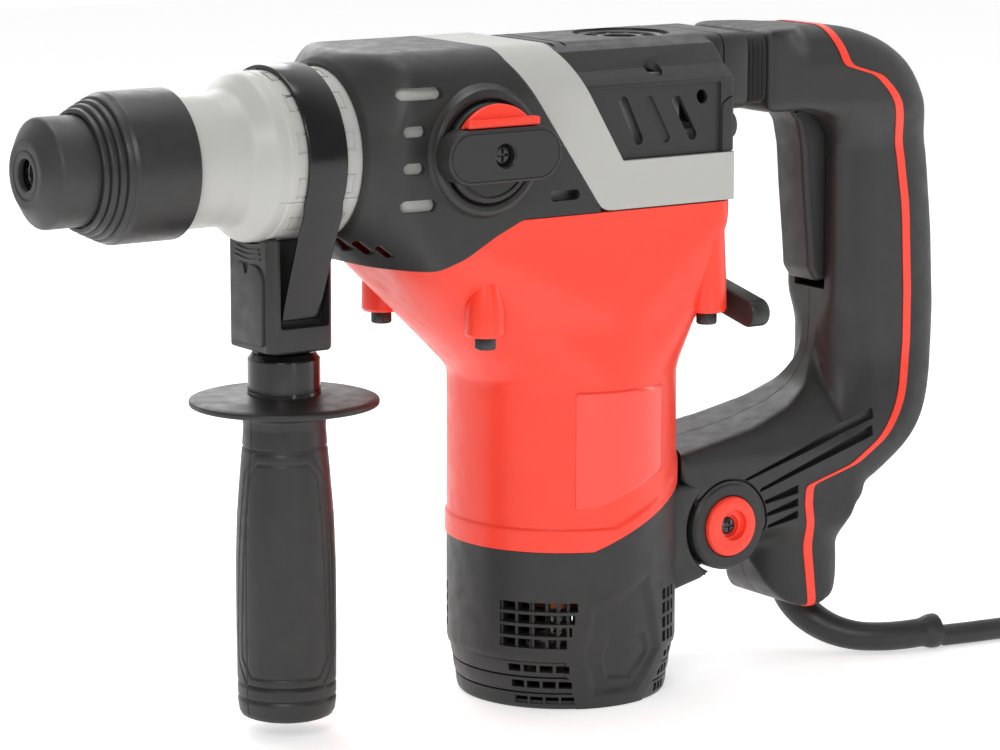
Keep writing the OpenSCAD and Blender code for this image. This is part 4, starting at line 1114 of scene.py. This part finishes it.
def selector():
    """The mode knob: a disc, a bar across it, its screw, and the red lock behind the bar."""
    disc = lathe(fillet([(-40.7, 4, 0), (-40.7, 17.3, 0), (-43.6, 17.3, 0.5), (-44.6, 16.6, 0.5),
                         (-44.6, 4, 0)], 0.2), "y", DIAL)
    groove_tool = pipe(-46, -44.0, 14.4, 15.3, "y", DIAL)
    cut(disc, groove_tool)
    stem = rod(-41, -34, 4, "y", DIAL, 48)
    outline = stadium(DIAL_X, DIAL_Z, 46, 18.5, steps=24)
    bar = prism(outline, -53.2, -44.2, edge=0.6)
    rim = prism(offset(outline, 0.9), -60, -52.95)
    cut(rim, prism(offset(outline, 1.35), -61, -50))
    cut(bar, rim)
    core = rod(-44.7, -40.5, 5, "y", DIAL, 48)
    add(bar, disc, core)
    add(bar, stem)
    cut(bar, lathe([(-60, 0), (-60, 4.4), (-52.8, 4.4), (-52.4, 4.0), (-49, 4.0), (-49, 1.6), (-36, 1.6),
                    (-36, 0)], "y", DIAL, 48))
    finish(bar, "mode_knob", "selector", "black_plastic", "selector_knob")
    head = lathe(fillet([(-50.9, 0, 0), (-50.9, 2.6, 0.8), (-50.2, 3.6, 0.5), (-49.0, 3.6, 0),
                         (-49, 1.55, 0), (-36, 1.55, 0), (-36, 0, 0)], 0.2), "y", DIAL, 48)
    cut(head, *cross(DIAL_X, DIAL_Z, -53, -49.8, 2.3, 0.45))
    finish(head, "mode_screw", "selector", "dark_steel", "selector_screw")
    z0 = DIAL_Z + 9.25 + 0.3
    half = math.sqrt(17.2 ** 2 - (z0 - DIAL_Z) ** 2)
    start = math.atan2(z0 - DIAL_Z, half)
    curve = arc(DIAL, 17.2, np.degrees(np.linspace(start, math.pi - start, 40)))
    lens = prism(curve, -48.8, -46.7, edge=0.5)
    tab = prism(fillet([(DIAL_X - 14.5, z0), (DIAL_X + 15.2, z0), (DIAL_X + 15.2, z0 + 2.9),
                        (DIAL_X - 13, z0 + 2.9)], 0.9), -51.6, -48, "y", edge=0.5)
    add(lens, tab)
    finish(lens, "mode_lock", "lock", "red_plastic", "selector_lock")


def rear_lever():
    """The lever behind the barrel, on its round boss."""
    x = 258
    y, z = LEVER
    stem = rod(x - 2.6, x + 3, 5, "x", LEVER, 48)
    boss = lathe(fillet([(x + 2, 0, 0), (x + 2, 10, 0.5), (x + 5.6, 10, 0.8), (x + 6.2, 9, 0.4),
                         (x + 6.2, 0, 0)], 0.2), "x", LEVER, 64)
    a = math.radians(12)
    c, s = math.cos(a), math.sin(a)
    shape = [(y + p * c - q * s, z + p * s + q * c) for p, q in stadium(-16, 0, 42, 10)]
    bar = prism(shape, x + 2.5, x + 10.5, "x", edge=1.2)
    add(bar, boss)
    add(bar, stem)
    finish(bar, "rear_switch", "lever", "black_plastic", "rear_lever")


# ---------- Rear handle ----------
HANDLE_OUTER = [(285, 34, 3), (308, 34, 60), (330, 32.8, 90), (347, 27.2, 90), (359, 18.5, 90),
                (366.5, 4, 90), (371, -16, 90), (374, -45, 90), (375.5, -75, 90), (375, -98, 90),
                (369.5, -115, 90), (360.5, -128, 90), (345, -138.6, 90), (329.8, -146.4, 30),
                (327.4, -152, 6), (327.8, -165, 12), (328.4, -174, 8), (325, -181, 8), (313, -184.3, 14),
                (302, -182.5, 12), (295.5, -175, 10), (291, -163, 8), (284, -160, 6)]
HANDLE_INNER = [(248, -127.6, 3), (246, -119, 3), (284, -113, 20), (304, -107.5, 14), (316, -101, 12),
                (323, -90, 12), (324, -80, 8), (324, -8, 6), (318, 0, 6), (306, 3.5, 8), (285, 3.5, 3)]
INLAY = [(317.5, 60, 0), (318.5, 30, 6), (321.5, 19.5, 5), (336.5, 15, 12), (345, 7, 30), (351, -10, 90),
         (355, -36, 90), (356.5, -68, 90), (356.5, -92, 60), (352.5, -108, 40), (342, -121.5, 30),
         (328, -130.3, 20), (306.5, -136.3, 3), (306, -143, 6), (308, -158, 20), (310.4, -180, 20),
         (312, -200, 0)]
BOSS_R = 16.5                    # the pivot boss
HANDLE_HALF = 24                 # half of the handle's width
INLAY_HALF = 1.8                 # half of the red inlay's width
BOOT = [(314, -1, -177.5), (315.6, -3, -184), (318.5, -8, -190), (323, -15.5, -194.5), (329.2, -23, -196.8),
        (337, -29, -197.2), (346, -32.8, -197), (355, -34.6, -196.6), (359.5, -35.2, -196.5)]


def handle_outline():
    return fillet(HANDLE_OUTER + arc(PIVOT, BOSS_R, range(-60, -217, -6)) + HANDLE_INNER, 0)


def behind_inlay(shift):
    line = [(x + shift, z, r) for x, z, r in INLAY]
    return fillet(line + [(420, -200, 0), (420, 60, 0)], 0, 6)


def handle_form():
    """The whole handle as one softly rounded solid, narrowed where the fingers close round it."""
    body = prism(handle_outline(), -HANDLE_HALF, HANDLE_HALF)
    mod = body.modifiers.new("voxels", "REMESH")
    mod.mode = "VOXEL"
    mod.voxel_size = 1.15 * MM
    mod = body.modifiers.new("soft", "SMOOTH")
    mod.factor = 0.5
    mod.iterations = 14
    bake(body)
    mesh = body.data
    co = np.empty(len(mesh.vertices) * 3)
    mesh.vertices.foreach_get("co", co)
    co = co.reshape(-1, 3)
    x, z = co[:, 0] / MM, co[:, 2] / MM
    p = np.stack([x, z], -1)
    outer = fillet(HANDLE_OUTER[:14], 0, 3)[4:-4]
    away = line_distance(p, outer, closed=False)
    back = np.clip(1 - away / 15, 0, 1)
    scale = (10 + 14 * np.sqrt(1 - back ** 2)) / HANDLE_HALF
    in_grip = smooth_step((z + 124) / 34) * smooth_step((6 - z) / 20)
    reach = np.clip((341 - x) / 17, 0, 1)
    tip = 5 + 8 * smooth_step((z + 82) / 16)
    narrow = (tip + (18 - tip) * np.sqrt(1 - reach ** 2)) / HANDLE_HALF
    scale *= 1 - (1 - narrow) * in_grip
    foot = np.sqrt(np.clip(1 - ((x - 312) / 21) ** 2, 0.12, 1)) * 21 / HANDLE_HALF
    scale = scale + (np.minimum(foot, scale) - scale) * smooth_step((-149 - z) / 13)
    co[:, 1] *= scale
    mesh.vertices.foreach_set("co", co.ravel())
    mesh.update()
    mod = body.modifiers.new("soft", "SMOOTH")
    mod.factor = 0.5
    mod.iterations = 5
    return bake(body, 60)


def swollen(obj, distance):
    """A copy of obj grown along its normals."""
    other = copy_of(obj)
    mesh = other.data
    co = np.empty(len(mesh.vertices) * 3)
    normal = np.empty(len(mesh.vertices) * 3)
    mesh.vertices.foreach_get("co", co)
    mesh.vertex_normals.foreach_get("vector", normal)
    mesh.vertices.foreach_set("co", co + normal * distance * MM)
    mesh.update()
    return other


def arm_room():
    """Space for the motor barrel and the bracket tongue."""
    motor = rod(-260, 0, MOTOR_R + 2.2, "z", MOTOR)
    tongue = arc(PIVOT, 13, range(-80, 81, 8))
    room = [(236, -180), (PIVOT_X, -168)] + tongue + [(PIVOT_X + 2, -127), (236, -127)]
    return [motor, prism(room, -18.4, 18.4)]


def boot_hole():
    return tube([(313, -1, -174)] + BOOT[1:4], 7.4, 24)


def rear_handle():
    """One solid handle form, parted into two half shells, the red inlay and the soft grip."""
    form = handle_form()
    # The two half shells in front of the inlay
    front = copy_of(form)
    boss = lathe(fillet([(-24.6, 0, 0), (-24.6, 15.2, 0.8), (-23.4, 16.4, 0.8), (-21, 16.6, 0),
                         (21, 16.6, 0), (23.4, 16.4, 0.8), (24.6, 15.2, 0.8), (24.6, 0, 0)], 0.3), "y",
                 PIVOT)
    add(front, boss)
    tools = arm_room()
    tools.append(lathe([(-60, 0), (-60, 11.5), (-21.5, 11.5), (-21.5, 5.05), (21.5, 5.05), (21.5, 11.5),
                        (60, 11.5), (60, 0)], "y", PIVOT, 64))
    tools.append(prism([(296, -66), (345, -66), (345, -4), (322, 4.4), (296, 4.4)], -9, 9))
    tools.append(rod(-12.5, 12.5, 2.05, "y", TRIGGER_PIN, 32))
    tools.append(rod(280, 290, 8.6, "x", SPRING, 48))
    tools.append(boot_hole())
    cut(front, *tools)
    louvres = [[(275, -131.8), (337.5, -114.2), (337.5, -110.4), (275.5, -130.6)],
               [(283, -136.2), (336.5, -120.6), (336.5, -116.6), (283.4, -134.8)],
               [(284, -141.2), (301.2, -138.6), (301.2, -135.4), (284.2, -139.8)],
               [(286, -145.8), (301.2, -143.4), (301.2, -140.4), (286.2, -144.4)],
               [(287, -150.4), (301.2, -147.9), (301.2, -145.0), (287.2, -149.0)]]
    tools = []
    for s in (-1, 1):
        t = (-40, -20.6) if s < 0 else (20.6, 40)
        for shape in louvres:
            wedge = prism(fillet(shape, 0.4), t[0], t[1])
            tools.append(cut(wedge, rod(-50, 50, 17.8, "y", PIVOT)))
        ring = pipe(*sorted((s * 22.0, s * 24.2)), 16.7, 17.6, "y", PIVOT)
        tools.append(ring)
    cut(front, *tools)
    cut(front, through(behind_inlay(-INLAY_HALF)))
    right = copy_of(front)
    cut(front, block((200, -0.12, -260), (460, 60, 80)))
    cut(right, block((200, -60, -260), (460, 0.12, 80)))
    finish(front, "handle_half_near", "handle", "black_plastic", "handle_shell_left")
    finish(right, "handle_half_far", "handle", "black_plastic", "handle_shell_right")
    # Red inlay, a little proud, and the soft grip behind it
    inlay = swollen(form, 0.3)
    keep(inlay, through(behind_inlay(-INLAY_HALF)))
    trigger_room = prism(rectangle(300, -66, 352, -4), -9, 9)
    cut(inlay, through(behind_inlay(INLAY_HALF)), boot_hole(), trigger_room)
    finish(inlay, "handle_stripe", "handle", "red_plastic", "handle_inlay")
    keep(form, through(behind_inlay(INLAY_HALF)))
    cut(form, boot_hole())
    finish(form, "handle_grip", "handle", "soft_grip", "handle_overmould")


def pivot_caps():
    """The two stepped red caps over the pivot, each with a cross-slot screw."""
    caps, screws = [], []
    for s in (-1, 1):
        cap = lathe(fillet([(0, 0, 0), (0, 10.4, 0), (-3.2, 11.2, 0.6), (-4.4, 10.6, 0.8), (-4.6, 8.6, 1.2),
                            (-3.9, 0, 0)], 0.2), "y", PIVOT, 96)
        cut(cap, prism(circle(PIVOT_X + 0.8, PIVOT_Z + 0.4, 5.6, 48), -9, -2.6))
        cut(cap, prism(circle(PIVOT_X - 0.2, PIVOT_Z, 4.2, 48), -9, -1.2))
        screw = lathe(fillet([(-0.9, 0, 0), (-0.9, 3.2, 0), (-1.9, 3.2, 0.6), (-2.5, 1.6, 0.5),
                              (-2.6, 0, 0)], 0.2), "y", (PIVOT_X - 0.2, PIVOT_Z), 40)
        cut(screw, *cross(PIVOT_X - 0.2, PIVOT_Z, -4, -1.7, 2.0, 0.4))
        for obj, group in ((cap, caps), (screw, screws)):
            moved(obj, Matrix.Translation((0, -21.7 * MM, 0)))
            group.append(obj if s < 0 else moved(obj, MIRROR_Y, True))
    finish(together(*caps), "pivot_covers", "handle", "red_plastic", "pivot_caps")
    finish(together(*screws), "pivot_screws", "handle", "dark_steel")


def trigger():
    """The trigger, with a bead along the edges of both its sides."""
    outline = fillet([(318, 2.4, 2), (306.6, 3.0, 1), (311.2, -2.5, 8), (313.2, -12, 10), (314.4, -28, 10),
                      (316.4, -48, 10), (317.2, -58, 4), (320.5, -62.8, 3), (332, -62.8, 1), (334, -56, 1),
                      (334, -18, 2), (329, -8, 4), (322, -2, 3)], 0)
    body = prism(outline, -8.5, 8.5, edge=1.8, steps=4)
    bead = fillet([(318.5, 1.2, 1), (309.3, 1.2, 1), (313.6, -3, 8), (316.0, -12, 10), (317.2, -28, 10),
                   (319.2, -48, 10), (320.0, -57, 4), (322.5, -60.2, 2), (340, -60.2), (340, -4),
                   (326, -4)], 0)
    for t in ((-12, -8.05), (8.05, 12)):
        cut(body, prism(bead, t[0], t[1]))
    cut(body, rod(-20, 20, 2.05, "y", TRIGGER_PIN, 32))
    finish(body, "speed_trigger", "trigger", "black_plastic", "trigger")


def bellows():
    """A folded rubber sleeve between the collar and the handle."""
    x0, x1 = low("handle_bellows")[0], high("handle_bellows")[0]
    rows = np.linspace(x0, x1, 17)
    outer, inner = [], []
    base = fillet(rectangle(-22.6, 7.2, 22.6, 32.7), 5, 6)
    for i, x in enumerate(rows):
        fold = 0.9 * (1 - math.cos(math.pi * i / 2)) + 0.1
        outer.append([(x, y, z) for y, z in offset(base, fold)])
        inner.append([(x, y, z) for y, z in offset(base, fold + 1.6)])
    sleeve = loft(outer + inner[::-1], True)
    sleeve.name = "damper_sleeve"
    sleeve.data.materials.append(FINISH["cap_rubber"])
    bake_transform(sleeve)
    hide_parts("handle_bellows")


def cable_boot():
    """The bend sleeve of the cord, along a smooth curve through its points, thicker at its mouth."""
    steps = 10
    path, radii = [], []
    last = len(BOOT) - 1
    for i in range(last):
        before, a, b, after = [Vector(BOOT[min(max(k, 0), last)]) for k in (i - 1, i, i + 1, i + 2)]
        for k in range(steps + (i == last - 1)):
            t = k / steps
            curve = (2 * a + (b - before) * t + (2 * before - 5 * a + 4 * b - after) * t * t
                     + (3 * a - before - 3 * b + after) * t ** 3) / 2
            s = (i + t) / last
            r = 6.8 - 1.4 * ease(s / 0.6)
            if s > 0.84:
                r += 1.1 * math.sin(math.pi / 2 * min(1, (s - 0.84) / 0.08))
            if s > 0.97:
                r -= 1.5 * ((s - 0.97) / 0.03) ** 2
            path.append(curve)
            radii.append(r)
    boot = tube(path, radii, count=40)
    finish(boot, "cord_boot", "handle", "cord_rubber", "cable_boot")


def plug():
    """A generic two-pin plug that lies on the coil."""
    x = middle("plug")[0]
    y = COIL_Y
    z = middle("plug")[2]
    section = fillet([(-17.8, -6, 6), (-12, -12.8, 6), (12, -12.8, 6), (17.8, -6, 6), (17.8, 6, 6),
                      (12, 12.8, 6), (-12, 12.8, 6), (-17.8, 6, 6)], 6)
    rings = []
    for along, inset in [(-22, 1.2), (-21.6, 0.5), (-21, 0.1), (-20, 0), (-8, 0), (-6.5, 0.9), (-5, 0),
                         (-3.5, 0.9), (-2, 0), (-0.5, 0.9), (1, 0.1), (6, 0.5), (9.5, 2.2), (11.5, 4.4),
                         (12, 5.4)]:
        rings.append([(x + u, y - along, z + v) for u, v in offset(section, inset)])
    body = loft(rings)
    neck = lathe(fillet([(11.3, 0), (11.3, 8.4), (13.4, 8.2, 0.5), (14, 7.2, 0.3), (15, 7.4, 0.3),
                         (16, 6.7, 0.3), (17, 6.9, 0.3), (18, 6.2, 0.3), (19, 6.4, 0.3), (20, 5.8, 0.3),
                         (22, 5.6, 0.5), (22, 0)], 0.2), "y", (x, z), 48)
    turn_round = Matrix.Translation((0, y * MM, 0)) @ MIRROR_Y
    moved(neck, turn_round, True)
    finish(together(body, neck), "mains_plug", "housing", "cord_rubber", "plug")
    pins = []
    for s in (-1, 1):
        pin = lathe(fillet([(-41, 0), (-41, 1.5, 1), (-39.8, 2.4, 0.8), (-21.9, 2.4, 0), (-21.9, 0)], 0.2),
                    "y", (x + 9.5 * s, z), 32)
        pins.append(moved(pin, turn_round, True))
    finish(together(*pins), "plug_pins", "housing", "steel")


def springs():
    """Gives each of the two coil springs a mesh of its own."""
    for node, joint, end, travel in [("isolation_spring", "handle_pivot", high, 6.2),
                                     ("sleeve_spring", "sleeve_slide", low, 6.2)]:
        x0, x1 = low(node)[0], high(node)[0]
        _, y, z = middle(node)
        anchor = (end(node)[0] * MM, y * MM, z * MM)
        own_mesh(bpy.data.objects[node])


# ---------- Build ----------
camera_and_stage()
dust_cap()
locking_sleeve()
front_collar()
clamp_strap()
clamp_block()
side_grip()
motor_housing()
motor_end_cap()
gear_cover()
trim_band()
rear_cover()
selector()
rear_lever()
rear_handle()
pivot_caps()
trigger()
bellows()
cable_boot()
plug()
cord_tie()
cord()
springs()
for part in frame["record"]["subparts"]:
    node = frame["nodes"][part["node"]]
    node.data.materials.clear()
    node.data.materials.append(FINISH[part["material_slot"]])
